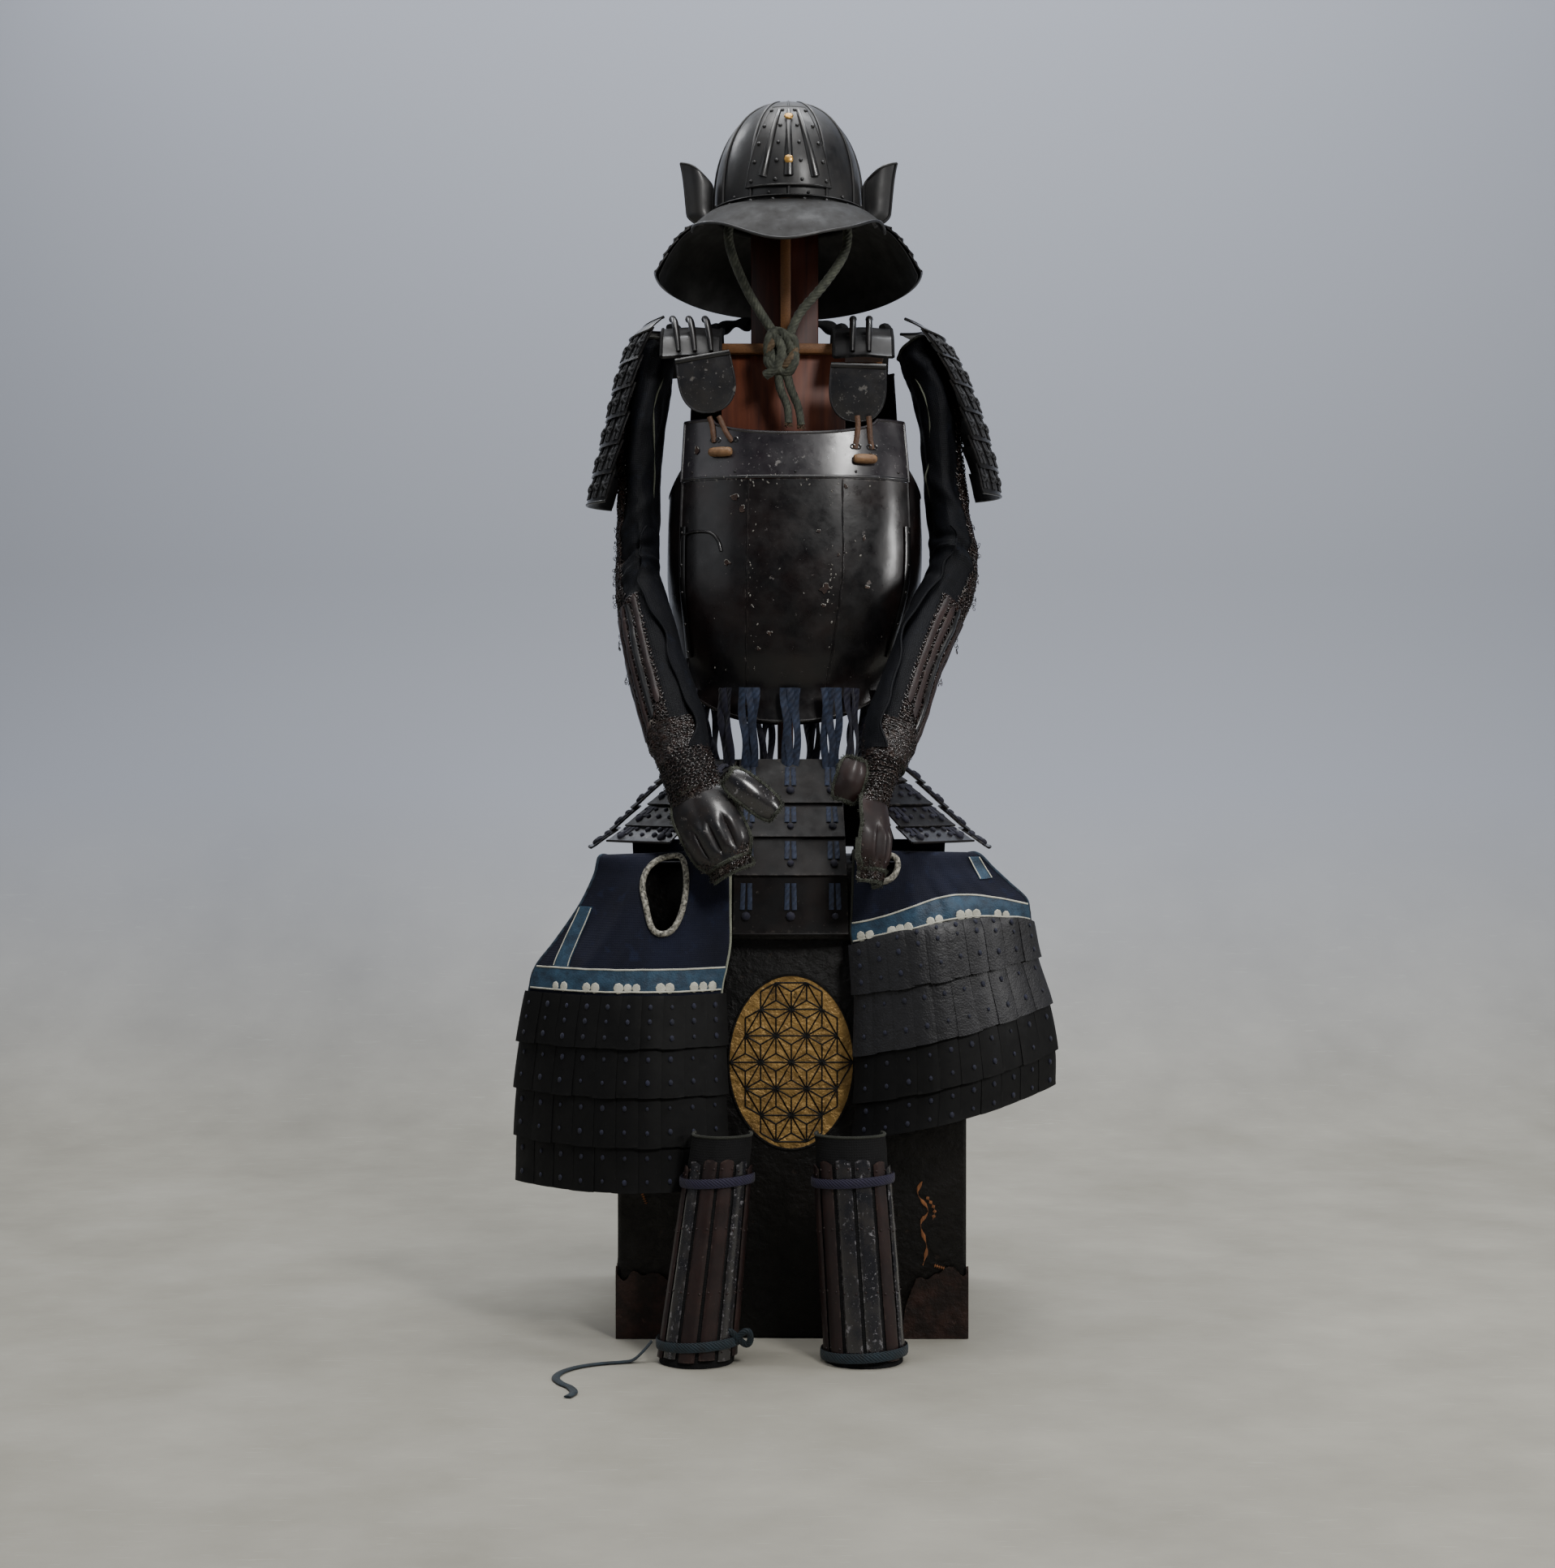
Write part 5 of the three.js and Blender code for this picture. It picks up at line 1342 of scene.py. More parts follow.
# The sleeves' main creases, in millimetres round from the front and down from the shoulder.
SLEEVE_CREASES = {
    "left": [(-20, 60, 10, 200, 9, 2.6), (24, 90, 34, 260, 12, -2.6), (-30, 240, 30, 290, 10, 2.4),
             (-26, 320, 36, 350, 8, -3.4), (-34, 356, 30, 392, 7, 2.8), (-20, 400, 44, 430, 9, -2.6),
             (40, 40, 52, 190, 10, 2.2), (-50, 120, -44, 260, 12, -2.4), (-90, 60, -84, 330, 14, 2.5),
             (70, 300, 96, 356, 9, -2.6)],
    "right": [(-24, 40, 26, 150, 9, 2.4), (30, 120, 22, 280, 12, -2.8), (-34, 210, 26, 260, 9, 2.6),
              (-30, 300, 40, 336, 8, -3.2), (-24, 342, 44, 372, 7, 2.8), (-34, 396, 30, 424, 9, -2.4),
              (44, 60, 50, 240, 10, 2.6), (-56, 90, -50, 280, 13, -2.4), (90, 80, 84, 320, 14, 2.2),
              (66, 340, 92, 392, 8, -2.8)],
}


def sleeve_point(label, side, a, v, out=0.0):
    rows = SLEEVES[label]
    x, y, z, half, depth = section(rows, v)
    before, after = section(rows, v - 0.02)[:3], section(rows, v + 0.02)[:3]
    along = unit(after - before)
    wide = unit(np.array([side, 0, 0]) - along * side * along[0])
    front = unit(np.cross(along, wide)) * side
    fold = 1 + 0.05 * sin(3 * a + 260 * v) * sin(180 * v)
    out = out + 1.8 * creased(SLEEVE_CREASES[label], ((a + 180) % 360 - 180) * 0.65, v * 660)
    out += 2.4 * rough(a * 0.65, v * 440, 40 * side, 24) + 1.0 * rough(a * 0.65, v * 440, 40 * side, 9)
    return np.array([x, y, z]) + wide * (half * fold + out) * sin(a) + front * (depth * fold + out) * cos(a)


def mail_spots(face, rows, columns, size, inward, seed, loss=0.0):
    """Staggered rows of mail rings over a surface, each leaning over the next."""
    draw = random.Random(seed)
    rings = []
    for j in range(rows):
        for i in range(columns):
            if draw.random() < loss:
                continue
            u = (i + 0.5 * (j % 2) + draw.uniform(-0.12, 0.12)) / columns
            v = (j + 0.5 + draw.uniform(-0.1, 0.1)) / rows
            place, outward, down = spot(face, min(u, 0.995), v, 1.1, inward)
            lean = (0.45 if i % 2 else -0.45) + draw.uniform(-0.3, 0.3)
            slant = draw.uniform(-0.5, 0.5)
            rings.append((place, outward + down * lean + np.cross(outward, down) * slant, down, size))
    return rings


# The sleeves' mail: its patch round the arm in degrees and down the arm, its lift, its rows and columns,
# the rings' size, the draw's seed and the share of rings lost.
MAIL = [
    (56, 132, 0.2, 0.66, 0.6, 62, 19, 2.7, 5, 0.12),
    (14, 154, 0.655, 0.94, 0.9, 44, 34, 2.7, 7, 0.06),
    (-70, 80, 0.9, 0.995, 1.4, 20, 44, 2.6, 6, 0.03),
]
# Torn mail that hangs loose: how far down the arm, where round it, and how many rings.
TORN = [(0.42, 92, 7), (0.47, 86, 6), (0.52, 96, 8), (0.6, 90, 5), (0.7, 96, 6), (0.78, 92, 5)]


def sleeve(label, side):
    def cloth(u, v):
        return sleeve_point(label, side, 360 * u, v)

    def patch(a0, a1, v0, v1, out):
        return lambda u, v: sleeve_point(label, side, mix(a0, a1, u), mix(v0, v1, v), out)

    body = Piece(f"sleeve_{label}_cloth")
    body.shell(cloth, 72, 110, CLOTH, sleeve_hemp, wrap=True, inward=side)
    hem(body, cloth, "top low", 2.6, edge_cloth, 80, side)
    arm = body.done("black_cloth", f"sleeve_cloth_{label}")

    def flap(u, v):
        a = mix(-78, -14 + 14 * sin(380 * v + 40 * side) + 6 * sin(1100 * v) + 3 * sin(2300 * v), u)
        return sleeve_point(label, side, a, mix(0.44, 0.975, v), 3.6 + 4.5 * u ** 2 + 1.5 * sin(900 * v) * u)

    wing = Piece(f"sleeve_{label}_inner_flap")
    wing.shell(flap, 16, 80, 1.8, sleeve_hemp, inward=side)
    hem(wing, flap, "end", 1.7, sleeve_hemp, 90, side)
    inner = wing.done("black_cloth")
    trim = Piece(f"sleeve_{label}_piping")
    line = [sleeve_point(label, side, -46 + 16 * sin(260 * t), mix(0.13, 0.36, t), 1.0)
            for t in np.linspace(0, 1, 40)]
    trim.sweep(line, 1.3, dull_braid, 6, taper=lambda t: 0.15 + 0.85 * abs(sin(540 * t)))
    trim.done("black_cloth")
    splints = Piece(f"forearm_{label}_splints")
    for k in range(7):
        a0 = 18 + k * 19
        high, low = 0.66 + 0.01 * (k % 2), 0.925 - 0.02 * abs(k - 3)

        def splint(u, v, a0=a0, high=high, low=low):
            s = mix(-1, 1, u)
            point = mix(high + 0.012 * s * s, low - 0.012 * s * s, v)
            return sleeve_point(label, side, mix(a0, a0 + 13, u), point, 3.2 + 1.4 * (1 - s * s))

        metal = russet_iron if (k + (label == "left")) % 3 != 2 else dark_lacquer
        splints.shell(splint, 6, 24, IRON, metal, inward=side)
    splints.done("iron_brown", f"forearm_splints_{label}")
    rings = []
    for *where, rows, columns, size, seed, loss in MAIL:
        rings += mail_spots(patch(*where), rows, columns, size, side, seed, loss)
    draw = random.Random(21)
    for v, a, count in TORN:
        for k in range(count):
            at = sleeve_point(label, side, a + draw.uniform(-5, 5), v, 2.5 + draw.uniform(0, 4))
            at = at - np.array([0, 0, 3.4 * k])
            rings.append((at, (draw.uniform(-1, 1), draw.uniform(-1, 1), 0.2), (0, 0, -1), 2.4))
    repeated(f"sleeve_{label}_mail", "ring", rings, mail_iron, 0.12)


def wrist_cloth(label, side):
    """The cloth and mail that run from the cuff over the wrist to the hand plate."""
    name = f"hand_plate_{label}"
    hand = hand_face(name)

    def face(u, v):
        cuff = sleeve_point(label, side, mix(-80, 80, u), 0.955, 0.4 + 2 * v)
        back = hand(u if side > 0 else 1 - u, 0.1) + np.array([0, 3.0, 0])
        return mix(cuff, back, smooth(0, 1, v)) - np.array([0, 7 * sin(180 * v) * sin(180 * u), 0])

    cloth = Piece(f"wrist_{label}_cloth")
    cloth.shell(face, 30, 16, 1.6, backing_cloth, inward=side)
    cuff = cloth.done("black_cloth")
    rings = mail_spots(face, 16, 28, 2.7, side, 12)
    repeated(f"wrist_{label}_mail", "ring", rings, mail_iron, 0.12)


# Hand and thumb plates: middle, length, half width, arch, and how each leans, turns and rolls.
HAND_PLATES = {
    "hand_plate_left": (-104, -262, 672, 104, 42, 20, -6, -8, 27),
    "thumb_plate_left": (-52, -268, 713, 78, 19, 9, -4, 8, 52),
    "hand_plate_right": (99, -262, 661, 98, 38, 20, -6, 66, -14),
    "thumb_plate_right": (73, -268, 731, 56, 19, 9, -4, 10, -18),
}


def hand_face(name, sunk=(0, 0, 0)):
    x, y, z, length, half, arch, lean, yaw, roll = HAND_PLATES[name]
    place = Matrix.Translation((x, y, z)) @ Matrix.Rotation(math.radians(yaw), 4, "Z")
    place = place @ Matrix.Rotation(math.radians(lean), 4, "X") @ Matrix.Rotation(math.radians(-roll), 4, "Y")
    flutes = 4 if name.startswith("hand") else 1
    depth = 5.5 if flutes == 4 else 1.5

    def face(u, v):
        s = mix(-1, 1, u)
        narrow = 1 - 0.32 * (2 * min(v, 1) - 1) ** 4
        knuckles = smooth(0.4, 0.58, v) * (1 - smooth(0.84, 0.93, v))
        flute = depth * (abs(sin(180 * flutes * u)) ** 0.8 - 0.5) * knuckles
        bend = -arch * (1 - s * s) - 6 * sin(180 * v) - flute
        at = (s * half * narrow + sunk[0], bend + sunk[1], -length * (v - 0.5) + sunk[2])
        return np.array(place @ Vector(at))

    return face


def border_places(steps):
    """Even places round the border of a surface."""
    run = [k / steps for k in range(steps)]
    return [(t, 0) for t in run] + [(1, t) for t in run] + [(t, 1) for t in run] + [(0, t) for t in run]


def fuzz(face, draw, u, v):
    """A short stray fibre of a frayed binding, as a spot."""
    place, outward, down = spot(face, u, v, draw.uniform(-2, 1.5))
    way = np.array([draw.gauss(0, 1) for _ in range(3)]) + 0.4 * outward
    return place + 1.5 * unit(way), np.cross(way, down), way, (0.35, draw.uniform(1.5, 3.2), 0.35)


def hand_plate(name):
    draw = random.Random(31)
    face = hand_face(name)
    metal = {"hand_plate_left": hand_iron, "thumb_plate_left": grey_iron}.get(name, russet_iron)
    walled(name + "_iron", face, 64 if name.startswith("hand") else 32, 28, metal, "iron_brown", name,
           edges=[("top low start end", 2.6, hand_edge, 40)])
    edging = [fuzz(face, draw, u, v) for u, v in border_places(70) for _ in range(3)]
    if name.startswith("hand"):
        under = hand_face(name, (0, 3.5, -2))

        def palm(u, v):
            return under(u, mix(0.6, 1.13, v))

        cloth = walled(name + "_palm_cloth", palm, 24, 24, backing_cloth, "iron_brown",
                       edges=[("low start end", 2.6, hand_edge, 40)], thick=1.6)
        edging += [fuzz(palm, draw, u, v) for u, v in border_places(50) if v > 0.7 for _ in range(3)]
        rings = mail_spots(lambda u, v: under(u, mix(0.86, 1.1, v)), 9, 22, 2.8, 1, 9)
        repeated(name + "_mail", "ring", rings, mail_iron, 0.12)
    repeated(name + "_fuzz", "fibre", edging, hand_edge, 0.3)


# ---------- the shoulder guards ----------

# How far out and how high each lame edge of a shoulder guard lies, from the top down.
SODE = {
    "left": [(206, 1354), (222, 1334), (236, 1297), (246, 1260),
             (254, 1222), (263, 1184), (273, 1145), (280, 1108)],
    "right": [(186, 1352), (212, 1333), (234, 1300), (250, 1264),
              (263, 1228), (274, 1190), (284, 1152), (287, 1120)],
}


def shoulder_guard(label, side):
    def where(out, z, u, v):
        s = mix(-1, 1, u)
        return np.array([side * (out - 30 * s * s), 60 * s - 8, z + 6 * s * s * (1 - v)])

    faces = lame_faces(SODE[label], 5, where, 7)
    guard = Piece(f"shoulder_guard_{label}_lames")
    lay_lames(guard, faces, 36, dark_lacquer, inward=side)
    hem(guard, faces[0], "top", 2.2, dark_lacquer, 36, side)
    hem(guard, faces[-1], "low", 1.8, dark_lacquer, 36, side)
    guard.done("iron_lacquer", f"shoulder_guard_{label}")
    knots = []
    laces = Piece(f"shoulder_guard_{label}_laces")
    for face in faces[1:]:
        for u in (0.06, 0.2, 0.35, 0.5, 0.65, 0.8, 0.94):
            for strand in (-0.022, 0.022):
                tape(laces, face, (u + strand, 0.15), (u + strand, 0.85), 4, 4.8, dark_lace, 1.0, 2.2, side)
            knots.append((*spot(face, u, 0.5, 1.8, side), (4.6, 4.4, 3.4)))
    laces.done("iron_lacquer")
    repeated(f"shoulder_guard_{label}_knots", "knot", knots, dark_lace)


# ---------- the thigh aprons ----------

# Levels down each apron: heights and places of its inner and outer edges, and how far forward its
# inner edge, its middle and its outer edge stand.
APRONS = {
    "left": np.array([
        (624, 624, -80, -214, -120, -122, -124),
        (633, 629, -80, -234, -172, -176, -176),
        (638, 632, -80, -250, -211, -216, -208),
        (600, 606, -80, -258, -214, -232, -205),
        (560, 566, -80, -278, -216, -244, -199),
        (520, 520, -80, -310, -219, -254, -192),
        (488, 486, -85, -336, -222, -260, -186),
        (456, 455, -91, -345, -224, -265, -182),
        (387, 387, -92, -353, -228, -271, -176),
        (325, 325, -92, -357, -231, -274, -173),
        (262, 262, -92, -357, -233, -275, -172),
        (206, 204, -94, -354, -234, -275, -173),
    ], float),
    "right": np.array([
        (624, 624, 80, 206, -120, -122, -124),
        (633, 631, 80, 220, -172, -176, -176),
        (638, 636, 80, 240, -211, -216, -208),
        (606, 616, 79, 262, -214, -232, -205),
        (578, 596, 78, 284, -216, -244, -199),
        (554, 576, 77, 306, -219, -254, -192),
        (535, 560, 76, 311, -222, -258, -188),
        (518, 545, 78, 313, -224, -262, -184),
        (452, 497, 86, 318, -228, -268, -178),
        (373, 434, 88, 334, -231, -273, -174),
        (312, 374, 88, 341, -233, -275, -172),
        (266, 330, 86, 337, -234, -275, -172),
    ], float),
}
# Each slit's middle, across and up, its half width, its height and its lean.
SLITS = {"left": (-166, 583, 29, 100, 4), "right": (114, 616, 24, 34, -20)}
# The aprons' creases, in shares from the inner to the outer edge (times 100) and levels (times 10).
APRON_CREASES = {
    "left": [(30, 24, 22, 66, 4, -3.0), (42, 30, 46, 70, 4, 2.6), (66, 24, 74, 62, 4, -3.0),
             (80, 30, 92, 64, 4, 2.2), (12, 30, 8, 62, 3, 2.0), (56, 36, 58, 66, 3, -2.0)],
    "right": [(40, 24, 34, 60, 4, -2.6), (60, 26, 68, 64, 4, 2.4), (78, 24, 88, 66, 4, -2.6),
              (16, 28, 12, 64, 3, 2.0), (50, 34, 50, 62, 3, 2.0)],
}


def apron_face(label, u, n):
    z_in, z_out, x_in, x_out, y_in, y_mid, y_out = section(APRONS[label], n / 11)
    bow = 4 * u * (1 - u)
    hang = min(max((n - 2) / 2, 0), 1)
    fold = 3 * sin(640 * u + 20 * n) * hang * max(1 - (n - 2) / 5, 0)
    fold -= hang * creased(APRON_CREASES[label], 100 * u, 10 * n)
    crest = y_mid - (y_in + y_out) / 2
    return np.array([mix(x_in, x_out, u), mix(y_in, y_out, u) + crest * bow - fold, mix(z_in, z_out, u)])


# The slit's outline as three curves, in shares of its half width and its height.
SLIT_TURNS = [
    [(0, -0.5), (1.1, -0.5), (1.3, 0.5), (0.6, 0.5)],
    [(0.6, 0.5), (-0.4, 0.5), (-1.3, 0.3), (-0.8, -0.1)],
    [(-0.8, -0.1), (-0.6, -0.4), (-0.5, -0.5), (0, -0.5)],
]


def slit_line(label, steps=48):
    x, z, half, high, lean = SLITS[label]
    points = []
    for a, b, c, d in SLIT_TURNS:
        for k in range(steps // 3):
            t = k / (steps // 3)
            weights = ((1 - t) ** 3, 3 * t * (1 - t) ** 2, 3 * t * t * (1 - t), t ** 3)
            px = sum(w * q[0] for w, q in zip(weights, (a, b, c, d))) * half
            pz = sum(w * q[1] for w, q in zip(weights, (a, b, c, d))) * high
            points.append((x + px * cos(lean), px, z + pz))
    return points


def cut_out(thing, outline, low_y, high_y):
    """Cuts a slit of this outline, drawn in X and Z, out of a cloth."""
    knife = bmesh.new()
    rings = [[knife.verts.new((x * MM, y * MM, z * MM)) for x, _, z in outline] for y in (low_y, high_y)]
    count = len(outline)
    for k in range(count):
        knife.faces.new((rings[0][k], rings[0][(k + 1) % count], rings[1][(k + 1) % count], rings[1][k]))
    for ring in rings:
        knife.faces.new(ring)
    bmesh.ops.recalc_face_normals(knife, faces=knife.faces)
    mesh = bpy.data.meshes.new("knife")
    knife.to_mesh(mesh)
    knife.free()
    blade = bpy.data.objects.new("knife", mesh)
    bpy.context.scene.collection.objects.link(blade)
    cutter = thing.modifiers.new("slit", "BOOLEAN")
    cutter.operation = "DIFFERENCE"
    cutter.object = blade
    seen = thing.evaluated_get(bpy.context.evaluated_depsgraph_get())
    plain = bpy.data.meshes.new_from_object(seen)
    thing.modifiers.clear()
    thing.data = plain
    bpy.data.objects.remove(blade)


def apron(label, side):
    def cloth(u, v):
        return apron_face(label, u, v * 11)

    def off(u, n, out):
        return spot(lambda p, q: apron_face(label, p, q * 11), u, n / 11, out, side)[0]

    hung = Piece(f"apron_{label}_cloth")
    hung.shell(cloth, 60, 96, CLOTH, indigo_hemp, inward=side)
    thing = hung.make()
    outline = slit_line(label)
    cut_out(thing, outline, -290, -200)
    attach(thing, "root")
    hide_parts(f"apron_cloth_{label}")
    trim = Piece(f"apron_{label}_slit_braid")
    near = [apron_face(label, u, n) for u in np.linspace(0.02, 0.9, 45) for n in np.linspace(2.2, 6, 39)]
    around = []
    for px, _, pz in outline:
        best = min(near, key=lambda p: (p[0] - px) ** 2 + (p[2] - pz) ** 2)
        around.append((px, best[1] - 1.5, pz))
    trim.sweep(around, 4.0, mottled_braid, 8, closed=True)

    def waist(u, v):
        return apron_face(label, mix(0.02, 0.99, u), 0) + np.array([0, 20 * v - 6, mix(26, -1, v)])

    trim.shell(waist, 60, 6, 2.0, indigo_hemp, inward=side)
    hem(trim, cloth, "end", 2.2, blue_edge, 120, side)
    hem(trim, cloth, "start", 2.0, pale_braid if label == "left" else edge_cloth, 120, side)
    bound = trim.done("navy_cloth")
    high, low = (5.95, 6.95) if label == "left" else (5.4, 6.95)
    shares = ((0.95, 4.0), (0.86, high)) if label == "left" else ((0.93, 2.35), (0.88, 3.6))

    def swing(u):
        return 0 if label == "left" else 1.15 * sin(180 * min(max(u, 0), 1) ** 1.4)

    def strip(u, v):
        return off(mix(0.005, 0.995, u), mix(high, low, v) - swing(u), 1.2)

    def upright(u, v):
        share, n = (mix(a, b, v) for a, b in zip(*shares))
        return off(share + mix(-0.045, 0.045, u), n, 1.1)

    band = Piece(f"apron_{label}_leather_band")
    band.shell(strip, 90, 12, 0.9, blue_leather, inward=side)
    band.shell(upright, 8, 40, 0.9, blue_leather, inward=side)
    for v in (0.04, 0.97):
        tape(band, strip, (0.005, v), (0.995, v), 90, 2.2, white_leather, 0.6, 1.0, side)
    for u in (0.06, 0.94):
        tape(band, upright, (u, 0.02), (u, 0.98), 30, 1.6, white_leather, 0.6, 1.0, side)
    band.done("navy_cloth")
    lobes = []
    start = 0.05
    for group in (3, 2, 3, 2, 2) if label == "left" else (2, 3, 2, 3, 2):
        for k in range(group):
            lobes += spots(strip, (start + 0.046 * k,), (0.86,), 0.4, (6.0, 6.6, 0.9), side)
        start += 0.046 * group + 0.075
    repeated(f"apron_{label}_band_lobes", "dome", lobes, white_leather, 0.12)
    knots = []
    for k in range(4):
        top, low = 7 + k - (0.16 if k else 0), 8 + k

        def whole(u, v, top=top, low=low, first=k == 0):
            rise = swing(u) if first else 0
            return off(mix(-0.012, 1.012, u), mix(top - rise, low, v), 4.6 + 6 * v)

        scales = Piece(f"apron_{label}_scales_{k + 1}")
        hide = pebbled_hide if label == "right" and k < 2 else scale_hide
        for i in range(10):
            u0, u1 = i / 10 - 0.004, (i + 1) / 10 + 0.016
            hang = 0.012 * sin(211 * i + 97 * k)

            def scale(u, v, u0=u0, u1=u1, i=i, whole=whole, hang=hang):
                s = mix(-1, 1, u)
                down = mix(0.02, 0.99 + hang - 0.012 * abs(s) ** 3, v)
                p, outward, _ = spot(whole, min(max(mix(u0, u1, u), 0), 1), down, 0, side)
                return p + outward * (1.2 * (1 - s * s) - 1.4 * u + 30 * hang * v)

            scales.shell(scale, 6, 8, 1.6, hide, inward=side)
            lines = (0.25, 0.52, 0.8) if k == 0 else (0.3, 0.72)
            knots += spots(scale, (0.5,), lines, 0.8, (2.5, 3.3, 1.8), side)
        scales.done("scale_leather", f"apron_row_{k + 1}_{label}")
    repeated(f"apron_{label}_knots", "dome", knots, scale_lace, 0.25)


# ---------- the shin guards ----------

# Each shin guard at each height: height, place front to back, and depth.
SHIN = np.array([
    (0.5, -318, 44),
    (60, -312, 43),
    (130, -305, 41),
    (200, -297, 39),
    (250, -292, 38),
    (282, -289, 37),
], float)
SHIN_TOP = 282
# Where each guard stands across at the foot and the knee, and its half widths there.
GUARDS = {"left": (-121, -89, 47, 38), "right": (91, 73, 48, 45)}
# The upper edge of each splint, and each guard's splints from one side to the other.
SPLINT_TOPS = (244, 252, 256, 256, 252, 244)
SPLINT_IRON = {
    "left": (russet_iron, grey_iron, russet_iron, russet_iron, grey_iron, russet_iron),
    "right": (russet_iron, russet_iron, grey_iron, grey_iron, russet_iron, grey_iron),
}


def shin_point(label, a, z, out):
    foot, knee, foot_half, knee_half = GUARDS[label]
    _, y, depth = section_at(SHIN, z)
    rise = z / SHIN_TOP
    x, half = mix(foot, knee, rise), mix(foot_half, knee_half, rise)
    return np.array([x + (half + out) * sin(a), y - (depth + out) * cos(a), z])


def shin_guard(label):
    def cloth(u, v):
        a, z = mix(-112, 112, u), mix(SHIN_TOP, 0.5, v)
        return shin_point(label, a, z, 0.7 * rough(a, z, 9, 18))

    body = Piece(f"shin_{label}_cloth")
    body.shell(cloth, 48, 40, CLOTH, backing_cloth)
    hem(body, cloth, "top start end", 2.0, edge_cloth, 60)
    leg = body.done("black_cloth", f"shin_cloth_{label}")
    splints = Piece(f"shin_{label}_splints_iron")
    rivets = []
    for k, (high, metal) in enumerate(zip(SPLINT_TOPS, SPLINT_IRON[label])):
        a0 = -89 + k * 30.6

        def face(u, v, a0=a0, high=high, k=k):
            s = mix(-1, 1, u)
            z = mix(high - 4 * s * s, 8 + 3 * (k % 2), v)
            edge = 1.6 * max(abs(s) - 0.8, 0) / 0.2
            out = 3.4 + 0.8 * (1 - s * s) - edge + 0.5 * rough(z, a0, s, 14)
            return shin_point(label, a0 + mix(0, 25, u), z, out)

        splints.shell(face, 8, 24, IRON, metal)
        rivets += spots(face, (0.15, 0.85), (0.04, 0.34, 0.66, 0.95), 0.2, 1.5)
    splints.done("iron_brown", f"shin_splints_{label}")
    repeated(f"shin_{label}_rivets", "dome", rivets, russet_iron)
    ties = Piece(f"shin_{label}_ties")
    for z, material, width in ((226, purple_tape, 12), (27 if label == "left" else 14, teal_tape, 12.5)):
        turns = np.linspace(-108, 108, 72)
        line = [shin_point(label, a, z + 3 * sin(a * 1.2 + 20), 7.0) for a in turns]
        outward = np.array([(sin(a), -cos(a), 0) for a in turns])
        ties.sweep(line, width / 2, material, 8, flat=0.16, up=outward)
    if label == "left":
        middle = shin_point(label, 62, 32, 9)
        for way in (-1, 1):
            loop = [middle + np.array([way * 16 * sin(t), -3 - 3 * sin(2 * t), 9 * sin(2 * t) + 3])
                    for t in range(0, 181, 9)]
            ties.sweep(loop, 4.2, teal_tape, 8, flat=0.3, up=(0, -1, 0))
    ties.done("blue_tape")


# ---------- light and floor ----------


def area_light(name, place, aim, size, watts, colour=(1, 1, 1)):
    lamp = bpy.data.lights.new(name, "AREA")
    lamp.shape = "RECTANGLE"
    lamp.size, lamp.size_y = size
    lamp.energy = watts
    lamp.color = colour
    thing = bpy.data.objects.new(name, lamp)
    thing.location = place
    thing.rotation_euler = (Vector(aim) - Vector(place)).to_track_quat("-Z", "Y").to_euler()
    bpy.context.scene.collection.objects.link(thing)


def studio_backdrop():
    """A concrete floor that runs up into a cool grey wall."""
    name = "concrete_floor_and_grey_wall"
    material, tree, shader, place = start_material(name, 0.8, Specular_IOR_Level=0.2)
    height = node(tree, "SeparateXYZ", {0: place}, out="Z")
    up = node(tree, "MapRange", {0: height, 1: 0.0, 2: 0.7})
    mottled = patches(tree, place, 260, 0.3, 0.7, 9.0)
    ground = blend(tree, mottled, "#8f8c82", "#a3a096")
    scuffs = patches(tree, node(tree, "Mapping", {"Vector": place, "Scale": (1, 9, 1)}), 60, 0.62, 0.66, 9.0)
    ground = blend(tree, node(tree, "Math", {0: scuffs, 1: 0.25}, operation="MULTIPLY"), ground, "#bcb9af")
    tree.links.new(blend(tree, up, ground, "#9a9ea8"), shader.inputs["Base Color"])
    return material


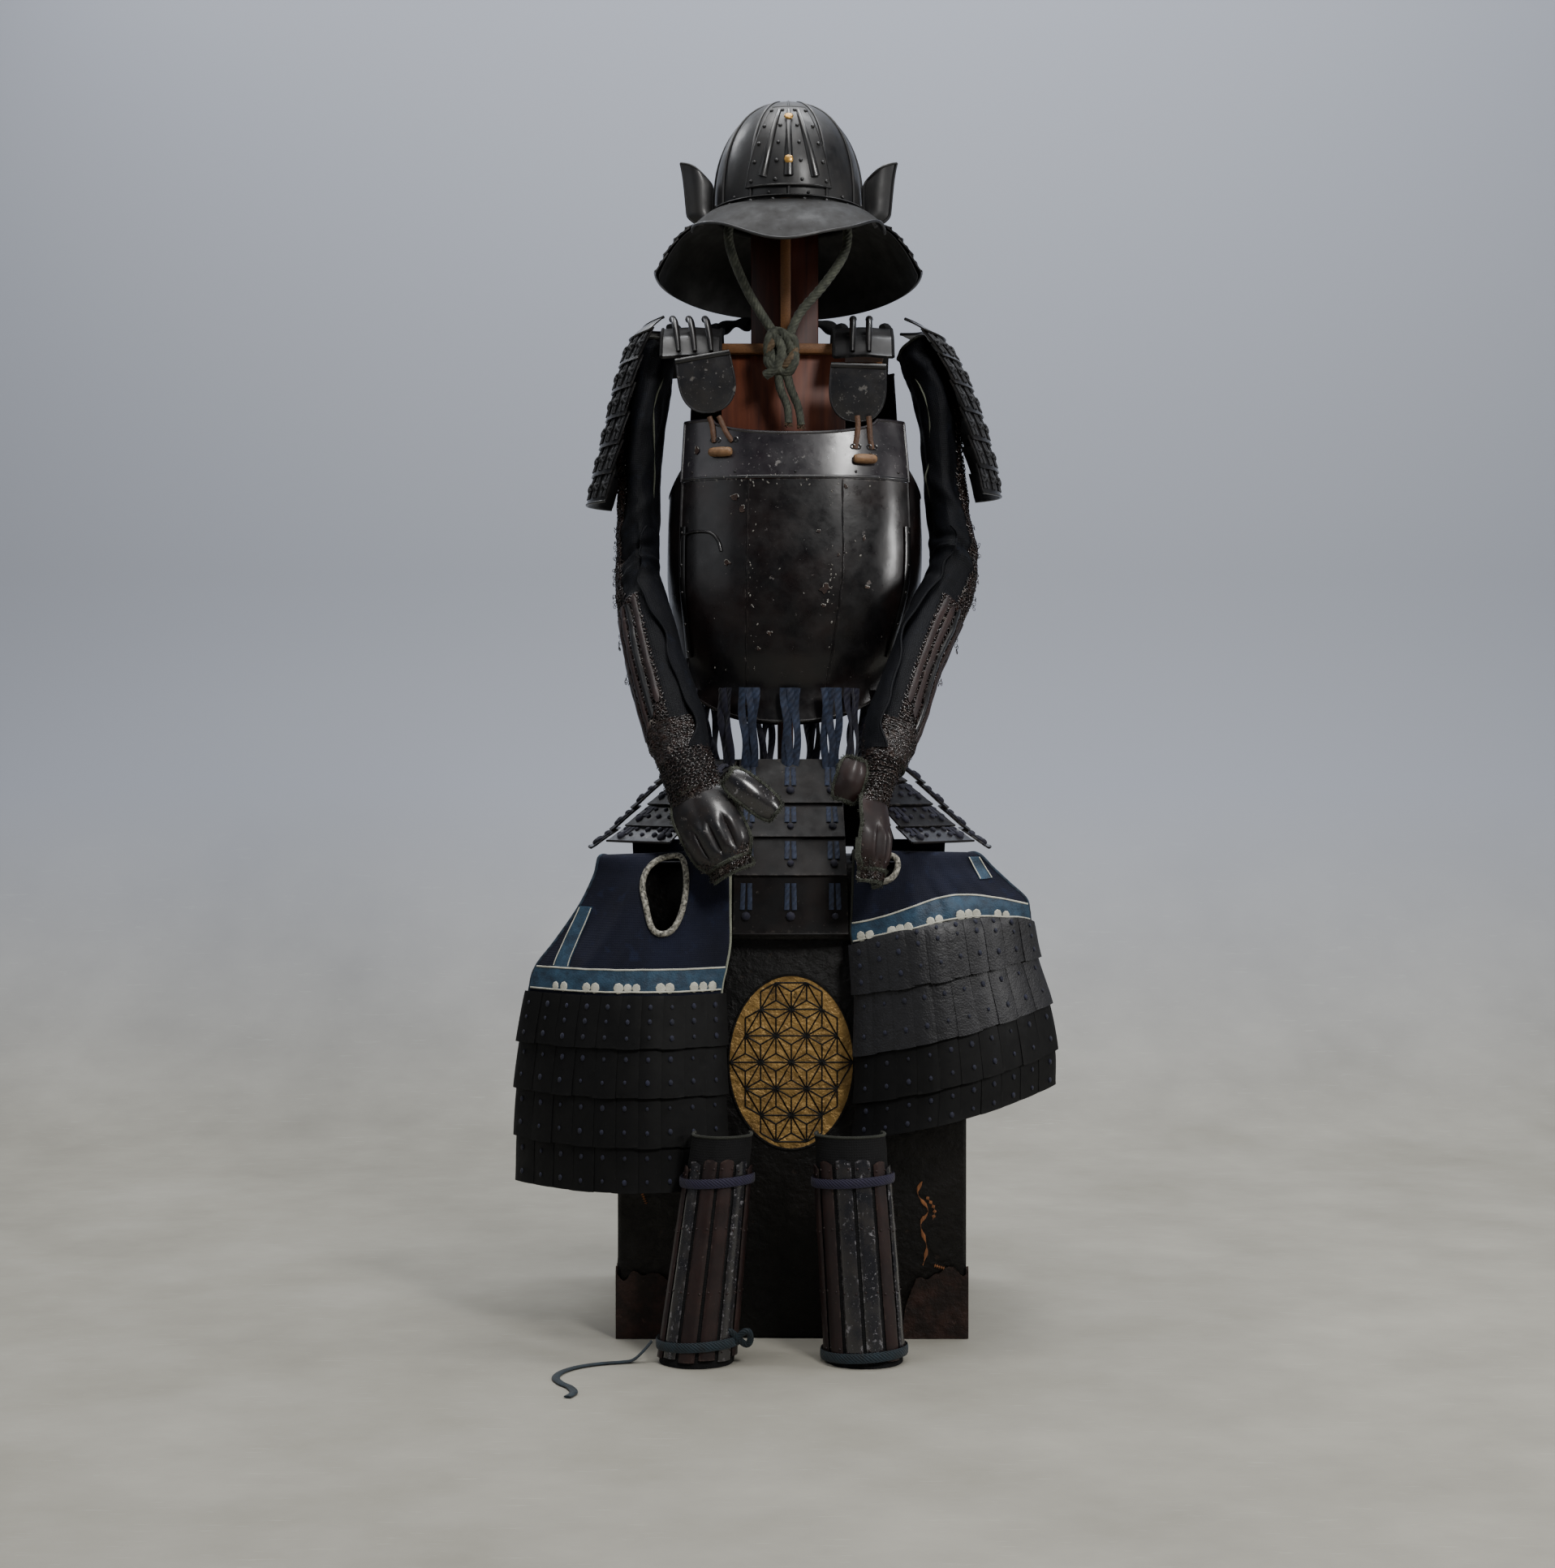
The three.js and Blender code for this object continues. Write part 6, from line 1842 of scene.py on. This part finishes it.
def studio():
    world = bpy.data.worlds.new("studio")
    world.use_nodes = True
    world.node_tree.nodes["Background"].inputs["Color"].default_value = linear("#b4b9c4")
    world.node_tree.nodes["Background"].inputs["Strength"].default_value = 0.1
    bpy.context.scene.world = world
    area_light("soft_key", (1.5, -2.9, 3.0), (0, -0.1, 0.9), (0.8, 0.8), 85, (1.0, 0.99, 0.97))
    area_light("side_box", (2.6, -0.7, 1.36), (0, -0.1, 1.0), (0.35, 0.5), 20, (1.0, 0.99, 0.98))
    area_light("soft_fill", (-3.2, -2.0, 2.6), (0, 0, 0.9), (3.0, 3.0), 24, (0.95, 0.97, 1.0))
    area_light("back_fill", (-1.9, 1.7, 3.4), (0, 0, 1.0), (1.2, 0.8), 22, (0.95, 0.97, 1.0))
    area_light("top_light", (0.1, 0.3, 4.0), (0, 0.1, 1.0), (2.6, 2.2), 50)
    area_light("wall_wash", (0.6, 0.6, 4.6), (0.9, 2.6, 2.2), (2.4, 0.8), 110, (0.93, 0.96, 1.0))
    area_light("floor_wash", (-0.4, -1.2, 4.6), (0.0, -0.9, 0.0), (3.2, 1.2), 70, (1.0, 0.99, 0.97))
    backdrop = bpy.data.meshes.new("backdrop")
    # The floor's edge, its bend and the bend's radius, the wall's height and half the width, in metres.
    near, bend, radius, high, half = -6, 1.2, 1.2, 6, 7
    rise = [(bend + radius * sin(t), radius - radius * cos(t)) for t in range(6, 91, 6)]
    sweep = [(near, 0), (bend, 0)] + rise + [(bend + radius, high)]
    rows = [(x, y, z) for y, z in sweep for x in (-half, half)]
    faces = [(2 * k, 2 * k + 1, 2 * k + 3, 2 * k + 2) for k in range(len(sweep) - 1)]
    backdrop.from_pydata(rows, [], faces)
    backdrop.polygons.foreach_set("use_smooth", [True] * len(faces))
    backdrop.materials.append(studio_backdrop())
    ground = bpy.data.objects.new("backdrop", backdrop)
    bpy.context.scene.collection.objects.link(ground)


# ---------- the whole armour ----------

armour_box()
stand()
helmet()
cuirass()
strap("left", -136, 0)
strap("right", 97, 0)
leaf("left", -120, 1299, -10)
leaf("right", 90, 1287, 2)
strap_tie("left", -92, (-108, -97), (-101, -78), 1170)
strap_tie("right", 95, (86, 100), (85, 107), 1160)
for row in TASSETS:
    tasset(*row)
for label, side in (("left", -1), ("right", 1)):
    sleeve(label, side)
    wrist_cloth(label, side)
    shoulder_guard(label, side)
    apron(label, side)
    shin_guard(label)
for name in HAND_PLATES:
    hand_plate(name)
studio()
